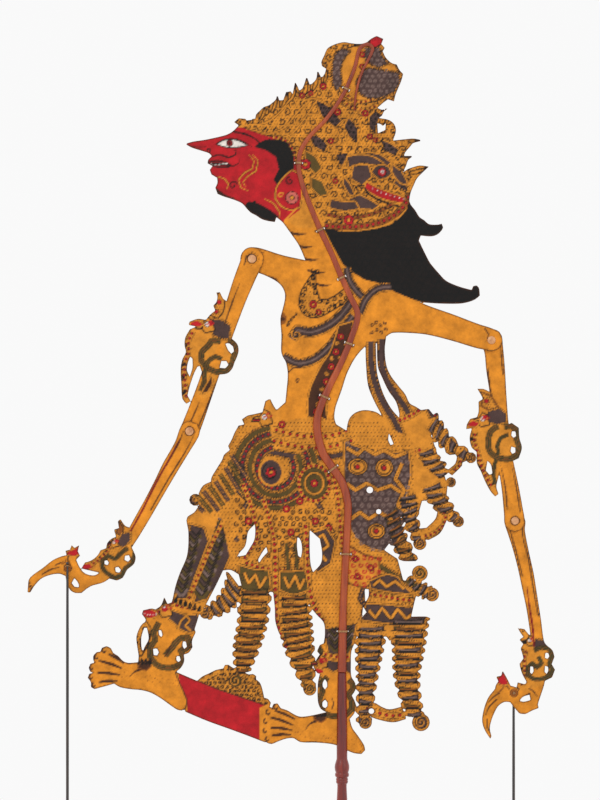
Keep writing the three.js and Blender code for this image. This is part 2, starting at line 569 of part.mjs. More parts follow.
function armPiece({ limb, trim, holes }, front, bores) {
  const back = front + HIDE;
  return cut(join(slabs([limb, ...trim], front, back)), [...slabs(holes, front - 1, back + 1), ...bores]);
}

// Half of the split control rod: its outline across the hide, cut by its thickness seen from the side
function rodHalf(side) {
  const near = side * (HALF + GAP);
  const far = side * (HALF + GAP + STRIP_THICK);
  const neck = side * (HALF + GAP + STRIP_THIN);
  const flat = slab(stripOutline(ROD, 84), Math.min(near, far * 2), Math.max(near, far * 2));
  const profile = new THREE.Shape(
    pairs([0, 300, far, 300, far, WAIST_LOW, neck, WAIST_HIGH, neck, 900, 0, 900]),
  );
  const geometry = new THREE.ExtrudeGeometry(profile, { depth: 200, bevelEnabled: false });
  // the profile was drawn in y and z, so its axes and its depth turn into y, z and x
  const turn = new THREE.Matrix4().makeBasis(
    new THREE.Vector3(0, 1, 0),
    new THREE.Vector3(0, 0, 1),
    new THREE.Vector3(1, 0, 0),
  );
  return flat.intersect(solid(geometry.translate(0, 0, -100).applyMatrix4(turn)));
}

function rodGrip() {
  const profile = [
    0, 0, 2.2, 0, 2.6, 14, 3.4, 60, 4.3, 120, 4.9, 170, 5, 200, 4.4, 214, 4.2, 221, 5.4, 223, 5.4,
    226.4, 4.9, 227,
    6.3, 228.6, 6.3, 231, 5.6, 231.8, 6.4, 234, 6.6, 236.5, 6.2, 239.5, 4.9, 243.5, 4.9, 256, 4.6, 285,
    4.2, 312,
    4, GRIP_TOP, 0, GRIP_TOP,
  ];
  const body = new THREE.LatheGeometry(pairs(profile), 20).rotateX(Math.PI / 2);
  const slit = new THREE.BoxGeometry(30, 2 * (HALF + GAP), 100);
  return solid(body).subtract(solid(slit.translate(0, 0, SLIT_BOTTOM + 50)));
}

// A rivet: a disc at each end of its shank, each given as radius, outer and inner depth
function rivet(centre, [frontRadius, frontOuter, frontInner], [backRadius, backInner, backOuter]) {
  return turned(centre, [
    0, frontOuter, frontRadius - 0.4, frontOuter, frontRadius, frontOuter + 0.3, frontRadius, frontInner,
    PIN_RADIUS, frontInner, PIN_RADIUS, backInner, backRadius, backInner, backRadius, backOuter - 0.3,
    backRadius - 0.4, backOuter, 0, backOuter,
  ]);
}

function washer(centre, front) {
  const inner = PIN_RADIUS + GAP;
  const outer = RIVET_RADIUS - 0.3;
  const back = front + WASHER_THICKNESS;
  return turned(centre, [inner, front, outer, front, outer, back, inner, back, inner, front]);
}

// The knotted thread of a hand: knot, cord through the palm, and a ring round the neck of the hand rod
function handThread([x, z], side) {
  const knotDepth = side * 2.2;
  const ringEdge = side * (HAND_ROD_OFFSET - RING_RADIUS * Math.cos(RING_TILT));
  const knot = new THREE.SphereGeometry(1.3, 10, 6).scale(1, 0.55, 1).translate(x, knotDepth, z);
  const cord = new THREE.CylinderGeometry(THREAD / 2, THREAD / 2, Math.abs(ringEdge - knotDepth), 8);
  cord.translate(x, (ringEdge + knotDepth) / 2, z);
  const ring = new THREE.TorusGeometry(RING_RADIUS, THREAD / 2, 6, 14).rotateX(side * RING_TILT);
  ring.translate(x, side * HAND_ROD_OFFSET, z + RING_RISE);
  return join([solid(knot), solid(cord), solid(ring)]);
}

function handRod([x, z], side) {
  const neck = 0.7;
  const reach = 1.5; // half the length of the neck
  const top = 4.1;
  const low = top - HAND_ROD_LENGTH;
  const profile = [
    0, low, 0.7, low + 0.4, 1.05, low + 3, HAND_ROD_RADIUS, low + 60, HAND_ROD_RADIUS, -60, 1.15, -20,
    1.1, -4, neck, -reach, neck, reach, 1.3, 2, 1.5, 2.8, 1.1, 3.7, 0, top,
  ];
  const body = new THREE.LatheGeometry(pairs(profile), 12).rotateX(Math.PI / 2);
  return solid(body.translate(x, side * HAND_ROD_OFFSET, z + RING_RISE));
}

// ---- Materials
const finish = (color, roughness, metalness = 0) =>
  new THREE.MeshStandardMaterial({ color, roughness, metalness });
const paintedHide = finish(0xd9942f, 0.45);
const redHorn = finish(0x8f4318, 0.3);
const darkHorn = finish(0x2b1710, 0.35);
const bone = finish(0xc9944f, 0.4);
const cotton = finish(0x5a1d14, 0.9);

// A mesh standing at its own pivot
function piece(name, body, material, [x, z] = [0, 0]) {
  const { numProp, vertProperties, triVerts } = body.getMesh();
  const geometry = new THREE.BufferGeometry();
  geometry.setAttribute("position", new THREE.BufferAttribute(new Float32Array(vertProperties), numProp));
  geometry.setIndex(new THREE.BufferAttribute(new Uint32Array(triVerts), 1));
  geometry.computeVertexNormals();
  geometry.translate(-x, 0, -z);
  const mesh = new THREE.Mesh(geometry, material);
  mesh.name = name;
  mesh.position.set(x, 0, z);
  return mesh;
}

// ---- The puppet
const puppet = new THREE.Group();
const figure = new THREE.Group();
figure.add(
  piece("body_leather", figureHide(), paintedHide),
  piece("rod_strip_front", rodHalf(-1), redHorn),
  piece("rod_strip_back", rodHalf(1), redHorn),
  piece("rod_grip", rodGrip(), redHorn),
  ...TIES.map((tie) => piece(tie[0], bindingLoop(tie), cotton)),
);
puppet.add(figure);

// Depths of the layers: the left arm lies in front of the figure's hide and the right arm behind it
const LEFT_UPPER_FRONT = -HALF - LAYER;
const LEFT_FORE_FRONT = LEFT_UPPER_FRONT - LAYER;
const RIGHT_UPPER_FRONT = HALF + GAP;
const RIGHT_FORE_FRONT = RIGHT_UPPER_FRONT + LAYER;
const FLUSH_HEAD = 0.7; // thickness of an elbow rivet's sunk head, and its gap to the hide it is sunk in
const SUNK = 0.05;
const peenedOver = (hideBack) => {
  const end = hideBack + 2 * GAP + WASHER_THICKNESS; // the washer lies between the hide and the peened end
  return [PIN_RADIUS + 1, end, end + RIVET_HEAD];
};
const pinBore = (centre) => bore(centre, PIN_RADIUS + GAP);
const sinking = (centre, front, back) => bore(centre, RIVET_RADIUS + GAP, front, back);

const leftSunk = LEFT_UPPER_FRONT + HIDE; // back face of the left upper arm
const leftArm = new THREE.Group();
leftArm.add(
  piece("left_shoulder_rivet", rivet(
    LEFT_SHOULDER,
    [RIVET_RADIUS, LEFT_UPPER_FRONT - GAP - RIVET_HEAD, LEFT_UPPER_FRONT - GAP],
    peenedOver(HALF),
  ), bone, LEFT_SHOULDER),
  piece("left_shoulder_washer", washer(LEFT_SHOULDER, HALF + GAP), bone, LEFT_SHOULDER),
  piece("left_upper_arm", armPiece(LEFT_UPPER, LEFT_UPPER_FRONT, [
    pinBore(LEFT_SHOULDER),
    pinBore(LEFT_ELBOW),
    sinking(LEFT_ELBOW, leftSunk - FLUSH_HEAD - SUNK - GAP, leftSunk + 1),
  ]), paintedHide, LEFT_SHOULDER),
  piece("left_elbow_rivet", rivet(
    LEFT_ELBOW,
    [RIVET_RADIUS, LEFT_FORE_FRONT - GAP - RIVET_HEAD, LEFT_FORE_FRONT - GAP],
    [RIVET_RADIUS, leftSunk - SUNK - FLUSH_HEAD, leftSunk - SUNK],
  ), bone, LEFT_ELBOW),
  piece("left_forearm", armPiece(LEFT_FORE, LEFT_FORE_FRONT, [
    pinBore(LEFT_ELBOW),
    bore(LEFT_PALM, THREAD / 2 + 0.4),
  ]), paintedHide, LEFT_ELBOW),
  piece("left_hand_thread", handThread(LEFT_PALM, -1), cotton, LEFT_PALM),
  piece("left_hand_rod", handRod(LEFT_PALM, -1), darkHorn, LEFT_PALM),
);
puppet.add(leftArm);

const rightSunk = RIGHT_UPPER_FRONT; // front face of the right upper arm
const rightArmBack = RIGHT_UPPER_FRONT + HIDE;
const rightForeBack = RIGHT_FORE_FRONT + HIDE;
const rightArm = new THREE.Group();
rightArm.add(
  piece("right_shoulder_rivet", rivet(
    RIGHT_SHOULDER,
    [RIVET_RADIUS, -HALF - GAP - RIVET_HEAD, -HALF - GAP],
    peenedOver(rightArmBack),
  ), bone, RIGHT_SHOULDER),
  piece("right_shoulder_washer", washer(RIGHT_SHOULDER, rightArmBack + GAP), bone, RIGHT_SHOULDER),
  piece("right_upper_arm", armPiece(RIGHT_UPPER, RIGHT_UPPER_FRONT, [
    pinBore(RIGHT_SHOULDER),
    pinBore(RIGHT_ELBOW),
    sinking(RIGHT_ELBOW, rightSunk - 1, rightSunk + SUNK + FLUSH_HEAD + GAP),
  ]), paintedHide, RIGHT_SHOULDER),
  piece("right_elbow_rivet", rivet(
    RIGHT_ELBOW,
    [RIVET_RADIUS, rightSunk + SUNK, rightSunk + SUNK + FLUSH_HEAD],
    [RIVET_RADIUS, rightForeBack + GAP, rightForeBack + GAP + RIVET_HEAD],
  ), bone, RIGHT_ELBOW),
  piece("right_forearm", armPiece(RIGHT_FORE, RIGHT_FORE_FRONT, [
    pinBore(RIGHT_ELBOW),
    bore(RIGHT_PALM, THREAD / 2 + 0.4),
  ]), paintedHide, RIGHT_ELBOW),
  piece("right_hand_thread", handThread(RIGHT_PALM, 1), cotton, RIGHT_PALM),
  piece("right_hand_rod", handRod(RIGHT_PALM, 1), darkHorn, RIGHT_PALM),
);
puppet.add(rightArm);

export default puppet;
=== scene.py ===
# A flat leather shadow puppet: painted rawhide sheets, a split horn control rod, riveted arms and hand rods.
# Drawing coordinates are millimetres, x towards the puppet's back and z up; meshes are in metres.
import math
import random

import bmesh
import bpy
import numpy as np
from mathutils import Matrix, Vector


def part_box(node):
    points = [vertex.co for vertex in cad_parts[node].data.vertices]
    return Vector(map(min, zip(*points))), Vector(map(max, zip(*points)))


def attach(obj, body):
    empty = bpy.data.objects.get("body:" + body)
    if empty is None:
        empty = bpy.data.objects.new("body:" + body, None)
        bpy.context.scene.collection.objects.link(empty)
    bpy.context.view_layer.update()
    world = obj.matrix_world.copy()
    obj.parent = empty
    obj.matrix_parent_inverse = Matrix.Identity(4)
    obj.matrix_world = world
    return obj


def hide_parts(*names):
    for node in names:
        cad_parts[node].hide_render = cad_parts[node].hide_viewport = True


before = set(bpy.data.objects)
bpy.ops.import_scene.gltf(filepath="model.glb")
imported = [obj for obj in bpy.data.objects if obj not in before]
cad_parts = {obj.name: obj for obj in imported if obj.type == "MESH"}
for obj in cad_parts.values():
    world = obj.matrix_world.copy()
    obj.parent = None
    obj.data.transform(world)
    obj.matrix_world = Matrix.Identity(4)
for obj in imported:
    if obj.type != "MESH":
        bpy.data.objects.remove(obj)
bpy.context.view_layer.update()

MM = 0.001
LINE = 0.45  # width of a drawn contour
TURN_CORNER = math.radians(38)  # an outline keeps a corner where it turns more than this
CURVE_STEP = 2.0  # spacing of the points on a smoothed line
OUTLINE_STEP = 2.4  # and on the outline of a hide


# ---- Plane geometry, in millimetres
def pairs(flat):
    return [(flat[i], flat[i + 1]) for i in range(0, len(flat), 2)]


def turn_angle(a, b, c):
    first = math.atan2(b[1] - a[1], b[0] - a[0])
    second = math.atan2(c[1] - b[1], c[0] - b[0])
    return abs((second - first + math.pi) % (2 * math.pi) - math.pi)


def smooth(points, closed=False, step=CURVE_STEP, corner=TURN_CORNER):
    """A Hermite curve through the points that keeps their sharp corners."""
    count = len(points)
    tangents = []
    for i, point in enumerate(points):
        before = points[i - 1] if closed or i else point
        after = points[(i + 1) % count] if closed or i < count - 1 else point
        sharp = before != point != after and turn_angle(before, point, after) > corner
        span = math.dist(before, point) + math.dist(point, after)
        if sharp or span == 0:
            tangents.append(None)
        else:
            tangents.append(((after[0] - before[0]) / span, (after[1] - before[1]) / span))
    curve = []
    for i in range(count if closed else count - 1):
        p, q = points[i], points[(i + 1) % count]
        length = math.dist(p, q)
        straight = ((q[0] - p[0]) / max(length, 1e-9), (q[1] - p[1]) / max(length, 1e-9))
        t0 = tangents[i] or straight
        t1 = tangents[(i + 1) % count] or straight
        parts = max(1, min(8, round(length / step)))
        for k in range(parts):
            u = k / parts
            h0, h1 = 2 * u**3 - 3 * u**2 + 1, u**3 - 2 * u**2 + u
            h2, h3 = 3 * u**2 - 2 * u**3, u**3 - u**2
            curve.append(tuple(h0 * p[j] + h1 * length * t0[j] + h2 * q[j] + h3 * length * t1[j] for j in (0, 1)))
    if not closed:
        curve.append(points[-1])
    return curve


def normals(points, closed=False):
    """The unit normal at each point of a polyline."""
    out = []
    count = len(points)
    for i in range(count):
        a = points[i - 1] if closed or i else points[i]
        b = points[(i + 1) % count] if closed or i < count - 1 else points[i]
        length = math.dist(a, b) or 1
        out.append(((a[1] - b[1]) / length, (b[0] - a[0]) / length))
    return out


def along(points, pitch, start=0.0):
    """Points spaced evenly along a polyline, each with its direction."""
    out = []
    left = start
    for a, b in zip(points, points[1:]):
        length = math.dist(a, b)
        while left <= length and length > 0:
            u = left / length
            out.append((a[0] + (b[0] - a[0]) * u, a[1] + (b[1] - a[1]) * u, math.atan2(b[1] - a[1],
                b[0] - a[0])))
            left += pitch
        left -= length
    return out


def inside(point, polygon):
    x, z = point
    hit = False
    for (x0, z0), (x1, z1) in zip(polygon, polygon[1:] + polygon[:1]):
        if (z0 > z) != (z1 > z) and x < (x1 - x0) * (z - z0) / (z1 - z0) + x0:
            hit = not hit
    return hit


# ---- Materials
def linear(red, green, blue):
    """An 8-bit screen colour as linear light."""
    return tuple((c / 255 / 12.92 if c < 10.3 else ((c / 255 + 0.055) / 1.055) ** 2.4) for c in (red, green, blue)) + (1,)


def material(name, colours, roughness, scale, metallic=0.0, bump=0.15, bump_scale=900, coat=0.0,
    stretch=None):
    """A procedural finish: colour mottled by noise, fine grain in the bump, roughness varied a little."""
    made = bpy.data.materials.new(name)
    made.use_nodes = True
    nodes, links = made.node_tree.nodes, made.node_tree.links
    shader = nodes["Principled BSDF"]
    place = nodes.new("ShaderNodeTexCoord")
    source = place.outputs["Object"]
    if stretch:
        mapping = nodes.new("ShaderNodeMapping")
        mapping.inputs["Scale"].default_value = stretch
        links.new(source, mapping.inputs["Vector"])
        source = mapping.outputs["Vector"]
    noise = nodes.new("ShaderNodeTexNoise")
    noise.inputs["Scale"].default_value = scale
    noise.inputs["Detail"].default_value = 8
    noise.inputs["Roughness"].default_value = 0.65
    links.new(source, noise.inputs["Vector"])
    ramp = nodes.new("ShaderNodeValToRGB")
    ramp.color_ramp.elements[0].position = 0.32
    ramp.color_ramp.elements[1].position = 0.68
    ramp.color_ramp.elements[0].color = linear(*colours[0])
    ramp.color_ramp.elements[1].color = linear(*colours[-1])
    for k, colour in enumerate(colours[1:-1], 1):
        ramp.color_ramp.elements.new(0.32 + 0.36 * k / (len(colours) - 1)).color = linear(*colour)
    links.new(noise.outputs["Fac"], ramp.inputs["Fac"])
    links.new(ramp.outputs["Color"], shader.inputs["Base Color"])
    rough = nodes.new("ShaderNodeMapRange")
    rough.inputs["To Min"].default_value = roughness - 0.1
    rough.inputs["To Max"].default_value = roughness + 0.1
    links.new(noise.outputs["Fac"], rough.inputs["Value"])
    links.new(rough.outputs["Result"], shader.inputs["Roughness"])
    shader.inputs["Metallic"].default_value = metallic
    shader.inputs["Coat Weight"].default_value = coat
    shader.inputs["Coat Roughness"].default_value = 0.25
    grain = nodes.new("ShaderNodeTexNoise")
    grain.inputs["Scale"].default_value = bump_scale
    grain.inputs["Detail"].default_value = 4
    links.new(source, grain.inputs["Vector"])
    raised = nodes.new("ShaderNodeBump")
    raised.inputs["Strength"].default_value = bump
    raised.inputs["Distance"].default_value = 0.0004
    links.new(grain.outputs["Fac"], raised.inputs["Height"])
    links.new(raised.outputs["Normal"], shader.inputs["Normal"])
    return made


PAINTS = {  # screen colour, and how much the paint shines
    "gold": ((222, 142, 42), 1.0), "skin": ((228, 142, 36), 1.0), "dark_gold": ((150, 84, 26), 0.8),
    "red": ((186, 22, 32), 0.3), "deep_red": ((128, 18, 22), 0.3), "pink": ((206, 104, 90), 0.3),
    "black": ((22, 15, 12), 0.1), "line": ((74, 40, 20), 0.2), "grey": ((78, 56, 52), 0.1),
    "pale_grey": ((122, 98, 90), 0.1), "olive": ((92, 72, 28), 0.2), "green": ((54, 52, 28), 0.1),
    "white": ((236, 228, 218), 0.2), "hair": ((14, 12, 11), 0.0),
}
PAINT_ORDER = list(PAINTS)
CELL = 1.1  # pitch of the painted mesh
FINE = CELL / 3  # pitch of the paint laid on it
FINEST = 1.15  # width of the finest painted line or dot
EMBOSS = 0.12  # depth of the drawn lines in the hide


def painted_hide():
    """Paint on rawhide: each vertex's colour, mottled, with grain in the bump and gold brighter than ink."""
    made = bpy.data.materials.new("painted_hide")
    made.use_nodes = True
    nodes, links = made.node_tree.nodes, made.node_tree.links
    shader = nodes["Principled BSDF"]
    laid = nodes.new("ShaderNodeVertexColor")
    laid.layer_name = "paint"
    place = nodes.new("ShaderNodeTexCoord")
    mottle = nodes.new("ShaderNodeTexNoise")
    mottle.inputs["Scale"].default_value = 75
    mottle.inputs["Detail"].default_value = 9
    mottle.inputs["Roughness"].default_value = 0.7
    links.new(place.outputs["Object"], mottle.inputs["Vector"])
    tone = nodes.new("ShaderNodeMapRange")
    tone.inputs["From Min"].default_value = 0.3
    tone.inputs["From Max"].default_value = 0.7
    tone.inputs["To Min"].default_value = 0.56
    tone.inputs["To Max"].default_value = 1.16
    links.new(mottle.outputs["Fac"], tone.inputs["Value"])
    tinted = nodes.new("ShaderNodeVectorMath")
    tinted.operation = "SCALE"
    links.new(laid.outputs["Color"], tinted.inputs[0])
    links.new(tone.outputs["Result"], tinted.inputs["Scale"])
    links.new(tinted.outputs["Vector"], shader.inputs["Base Color"])
    shader.inputs["Specular IOR Level"].default_value = 0.22
    shine = nodes.new("ShaderNodeMapRange")
    shine.inputs["To Min"].default_value = 0.58
    shine.inputs["To Max"].default_value = 0.4
    links.new(laid.outputs["Alpha"], shine.inputs["Value"])
    links.new(shine.outputs["Result"], shader.inputs["Roughness"])
    metal = nodes.new("ShaderNodeMapRange")
    metal.inputs["To Max"].default_value = 0.15
    links.new(laid.outputs["Alpha"], metal.inputs["Value"])
    links.new(metal.outputs["Result"], shader.inputs["Metallic"])
    grain = nodes.new("ShaderNodeTexNoise")
    grain.inputs["Scale"].default_value = 900
    grain.inputs["Detail"].default_value = 5
    links.new(place.outputs["Object"], grain.inputs["Vector"])
    raised = nodes.new("ShaderNodeBump")
    raised.inputs["Strength"].default_value = 0.25
    raised.inputs["Distance"].default_value = 0.0004
    links.new(grain.outputs["Fac"], raised.inputs["Height"])
    links.new(raised.outputs["Normal"], shader.inputs["Normal"])
    return made


PAINTED = painted_hide()
CUT_EDGE = material("cut_hide_edge", [(92, 56, 26), (140, 90, 44), (176, 122, 66)], 0.7, 260, 0,
    0.4)


# ---- A painted sheet of leather
class Sheet:
    """Paint areas on one hide, later ones over earlier ones, cut to the hide's own outline."""

    def __init__(self, node, base):
        self.node = node
        self.loops, self.front, self.back = hide_outline(node)
        xs, zs = [p[0] for loop in self.loops for p in loop], [p[1] for loop in self.loops for p in loop]
        self.left, self.low = min(xs) - 2 * CELL, min(zs) - 2 * CELL
        self.wide = int((max(xs) - self.left) / CELL) + 3
        self.tall = int((max(zs) - self.low) / CELL) + 3
        self.laid = np.full((3 * self.tall, 3 * self.wide), PAINT_ORDER.index(base), dtype=np.int8)

    def covered(self, points, pitch, shape):
        """Which cells of a grid lie in a polygon, with the corner they start from."""
        p = np.asarray(points, dtype=float) - (self.left, self.low)
        i0, k0 = np.maximum(np.floor(p.min(axis=0) / pitch).astype(int), 0)
        i1, k1 = np.minimum(np.ceil(p.max(axis=0) / pitch).astype(int), (shape[1], shape[0]))
        if i1 <= i0 or k1 <= k0:
            return 0, 0, np.zeros((0, 0), dtype=bool)
        xs = (np.arange(i0, i1) + 0.5) * pitch
        zs = (np.arange(k0, k1) + 0.5) * pitch
        hit = np.zeros((len(zs), len(xs)), dtype=bool)
        for (x0, z0), (x1, z1) in zip(p, np.roll(p, -1, axis=0)):
            rows = np.nonzero((z0 > zs) != (z1 > zs))[0]
            if len(rows):
                hit[rows] ^= xs[None, :] < (x0 + (x1 - x0) * (zs[rows] - z0) / (z1 - z0))[:, None]
        return i0, k0, hit

    def fill(self, points, paint):
        if len(points) > 2:
            i, k, hit = self.covered(points, FINE, self.laid.shape)
            self.laid[k : k + hit.shape[0], i : i + hit.shape[1]][hit] = PAINT_ORDER.index(paint)

    def area(self, flat, paint, rim="gold", rim_width=1.0, line="black", step=CURVE_STEP):
        """A filled region with a rim of another paint and a drawn contour outside it."""
        curve = smooth(pairs(flat), True, step)
        self.fill(curve, paint)
        if rim:
            self.stroke(curve, rim_width + 2 * LINE, line, closed=True)
            self.stroke(curve, rim_width, rim, closed=True)
        elif line:
            self.stroke(curve, LINE, line, closed=True)
        return curve

    def stroke(self, points, width, paint, closed=False, taper=(1, 1)):
        if closed:
            points = points + points[:1]
        width = max(width, FINEST)
        sides = normals(points)
        last = len(points) - 1
        left, right = [], []
        for i, ((x, z), (a, b)) in enumerate(zip(points, sides)):
            u = i / last
            swell = 1 - abs(2 * u - 1)
            half = width / 2 * (taper[0] * (1 - u) + taper[1] * u + (0 if min(taper) >= 1 else 0.6 * swell))
            left.append((x + a * half, z + b * half))
            right.append((x - a * half, z - b * half))
        # a stroke is painted as short quads, so that tight bends can't fold it over itself
        run = 4
        for i in range(0, last, run):
            j = min(i + run, last)
            self.fill(left[i : j + 1] + right[i : j + 1][::-1], paint)

    def line(self, flat, width=LINE, paint="black", taper=(1, 1), closed=False, step=CURVE_STEP):
        curve = smooth(pairs(flat), closed, step)
        self.stroke(curve, width, paint, closed, taper)
        return curve

    def dot(self, x, z, radius, paint, sides=6, rim=None):
        if rim:
            self.dot(x, z, radius + 0.6, rim, sides + 2)
        radius = max(radius, FINEST / 2)
        ring = [2 * math.pi * (k + 0.25) / sides for k in range(sides)]
        self.fill([(x + radius * math.cos(a), z + radius * math.sin(a)) for a in ring], paint)

    def dots(self, points, pitch=2.0, radius=0.5, paint="black", offset=0.0, sides=4, rim=None):
        for x, z, way in along(points, pitch, pitch / 2):
            self.dot(x - math.sin(way) * offset, z + math.cos(way) * offset, radius, paint, sides,
                rim)

    def curl(self, x, z, radius, start, turns=1.2, paint="black", width=0.5, hand=1):
        """A spiral drawn inwards from its rim."""
        count = max(8, int(14 * turns))
        spiral = []
        for k in range(count + 1):
            u = k / count
            angle = start + hand * 2 * math.pi * turns * u
            reach = radius * (1 - 0.85 * u)
            spiral.append((x + reach * math.cos(angle), z + reach * math.sin(angle)))
        self.stroke(spiral, width, paint)

    def flower(self, x, z, radius, paint="red", centre="gold", petals=6):
        self.dot(x, z, radius + 0.5, "black", 10)
        for k in range(petals):
            angle = 2 * math.pi * k / petals + 0.3
            reach = radius * 0.62
            self.dot(x + reach * math.cos(angle), z + reach * math.sin(angle), radius * 0.42, paint,
                5)
        self.dot(x, z, radius * 0.34, centre, 6, "black")

    def build(self):
        """A fine mesh of the hide: both painted faces and the cut edge, its border snapped to the outline."""
        shape = (self.tall, self.wide)
        solid = np.zeros(shape, dtype=bool)
        for loop in self.loops:
            i, k, hit = self.covered(loop, CELL, shape)
            solid[k : k + hit.shape[0], i : i + hit.shape[1]] ^= hit
        cells = np.argwhere(solid)
        row = self.wide + 1
        corners = np.stack([cells[:, 0] * row + cells[:, 1], cells[:, 0] * row + cells[:, 1] + 1,
                            (cells[:, 0] + 1) * row + cells[:, 1] + 1, (cells[:,
                                0] + 1) * row + cells[:, 1]], axis=1)
        used, quads = np.unique(corners, return_inverse=True)
        quads = quads.reshape(-1, 4)
        x = self.left + (used % row) * CELL
        z = self.low + (used // row) * CELL
        # colour round each vertex, averaged over the fine paint
        palette = np.array([linear(*PAINTS[name][0])[:3] + (PAINTS[name][1],) for name in PAINT_ORDER])
        i, k = 3 * (used % row), 3 * (used // row)
        tint = np.zeros((len(used), 4))
        for di in (-1, 0):
            for dk in (-1, 0):
                tint += palette[self.laid[np.clip(k + dk, 0, None) % self.laid.shape[0],
                    np.clip(i + di, 0, None) % self.laid.shape[1]]] / 4
        sunk = EMBOSS * (tint[:, :3].sum(axis=1) < 0.09)
        # border edges are used by one quad only
        ends = np.stack([quads, np.roll(quads, -1, axis=1)], axis=2).reshape(-1, 2)
        forward = {(a, b) for a, b in ends.tolist()}
        border = [(a, b) for a, b in forward if (b, a) not in forward]
        border.sort()
        rim = np.array(sorted({a for edge in border for a in edge}))
        starts = np.array([p for loop in self.loops for p in loop])
        stops = np.array([p for loop in self.loops for p in loop[1:] + loop[:1]])
        ways = stops - starts
        spans = np.maximum((ways**2).sum(axis=1), 1e-12)
        for at in rim:
            here = np.array((x[at], z[at]))
            u = np.clip(((here - starts) * ways).sum(axis=1) / spans, 0, 1)
            near = starts + ways * u[:, None]
            gaps = ((near - here) ** 2).sum(axis=1)
            best = gaps.argmin()
            if gaps[best] < (1.3 * CELL) ** 2:
                x[at], z[at] = near[best]
        sunk[rim] = 0
        count = len(used)
        coords = np.concatenate([np.stack([x, self.front + sunk, z], axis=1), np.stack([x,
            self.back - sunk, z], axis=1)]) * MM
        edge = np.array([(b, a, a + count, b + count) for a, b in border])
        faces = np.concatenate([quads, quads[:, ::-1] + count, edge])
        mesh = bpy.data.meshes.new(self.node + "_painted")
        mesh.from_pydata(coords.tolist(), [], faces.tolist())
        mesh.materials.append(PAINTED)
        mesh.materials.append(CUT_EDGE)
        mesh.polygons.foreach_set("material_index", [0] * (2 * len(quads)) + [1] * len(edge))
        layer = mesh.color_attributes.new("paint", "FLOAT_COLOR", "POINT")
        layer.data.foreach_set("color", np.concatenate([tint, tint]).ravel())
        mesh.update()
        piece = bpy.data.objects.new(self.node + "_painted", mesh)
        bpy.context.collection.objects.link(piece)
        return piece


def hide_outline(name):
    """The smoothed outline loops of a hide's front face, and the depths of its two faces, in millimetres."""
    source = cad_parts[name]
    mesh = source.data
    places = [source.matrix_world @ v.co for v in mesh.vertices]
    front, back = min(p.y for p in places), max(p.y for p in places)
    follow, doubled = {}, set()
    for polygon in mesh.polygons:
        corners = [places[i] for i in polygon.vertices]
        if all(abs(corner.y - front) < 1e-5 for corner in corners):
            ring = [(round(corner.x / MM, 3), round(corner.z / MM, 3)) for corner in corners]
            for a, b in zip(ring, ring[1:] + ring[:1]):
                if a in follow.get(b, ()):
                    follow[b].remove(a)
                else:
                    follow.setdefault(a, []).append(b)
    loops = []
    while any(follow.values()):
        start = here = next(a for a, after in follow.items() if after)
        loop = []
        while follow.get(here):
            loop.append(here)
            here = follow[here].pop()
            if here == start:
                break
        if len(loop) > 2:
            loops.append(smooth(loop, True, OUTLINE_STEP))
    return loops, front / MM, back / MM


# ---- Patterns that repeat over the figure
def stipple(sheet, region, pitch=3.0, radius=0.42, paint="black", sides=4):
    """Rows of punched dots that fill a region."""
    xs, zs = [p[0] for p in region], [p[1] for p in region]
    row, z = 0, min(zs)
    while z < max(zs):
        x = min(xs) + (pitch / 2 if row % 2 else 0)
        while x < max(xs):
            if inside((x, z), region):
                sheet.dot(x, z, radius, paint, sides)
            x += pitch
        z += pitch * 0.87
        row += 1


def scrolls(sheet, region, pitch=7.0, radius=2.4, paint="black", width=0.4, seed=1, turns=1.0):
    """Small curls scattered over a region, each turned its own way."""
    dice = random.Random(seed)
    xs, zs = [p[0] for p in region], [p[1] for p in region]
    row, z = 0, min(zs) + pitch / 2
    while z < max(zs):
        x = min(xs) + (pitch / 2 if row % 2 else 0)
        while x < max(xs):
            start, hand = dice.uniform(0, 6.28), dice.choice((1, -1))
            if inside((x, z), region):
                sheet.curl(x, z, radius, start, turns, paint, width, hand)
            x += pitch
        z += pitch * 0.87
        row += 1


def jewelled(sheet, flat, width=4.0, pitch=6.0, base="gold", stone="red", closed=False, dots=True):
    """A band with drawn edges, red stones and fine dots between them."""
    curve = smooth(pairs(flat), closed)
    sheet.stroke(curve, width + 2 * LINE, "black", closed)
    sheet.stroke(curve, width, base, closed)
    line = curve + curve[:1] if closed else curve
    sheet.dots(line, pitch, width * 0.26, stone, 0, 6, "black")
    if dots:
        sheet.dots([line[0]] + line, pitch, 0.45, "black", width * 0.3)
        sheet.dots([line[0]] + line, pitch, 0.45, "black", -width * 0.3)
    return curve


def leaf(sheet, base, tip, width, paint="gold", vein="black"):
    """A pointed flame or feather: filled, outlined and veined."""
    x0, z0 = base
    x1, z1 = tip
    a, b = -(z1 - z0), x1 - x0
    length = math.hypot(a, b) or 1
    a, b = a / length * width / 2, b / length * width / 2
    mx, mz = x0 + (x1 - x0) * 0.4, z0 + (z1 - z0) * 0.4
    flat = [x0 + a * 0.5, z0 + b * 0.5, mx + a, mz + b, x1, z1, mx - a, mz - b, x0 - a * 0.5,
        z0 - b * 0.5]
    sheet.area(flat, paint, None, 0, "black")
    sheet.stroke([(x0, z0), (mx, mz), (x1, z1)], 0.4, vein)


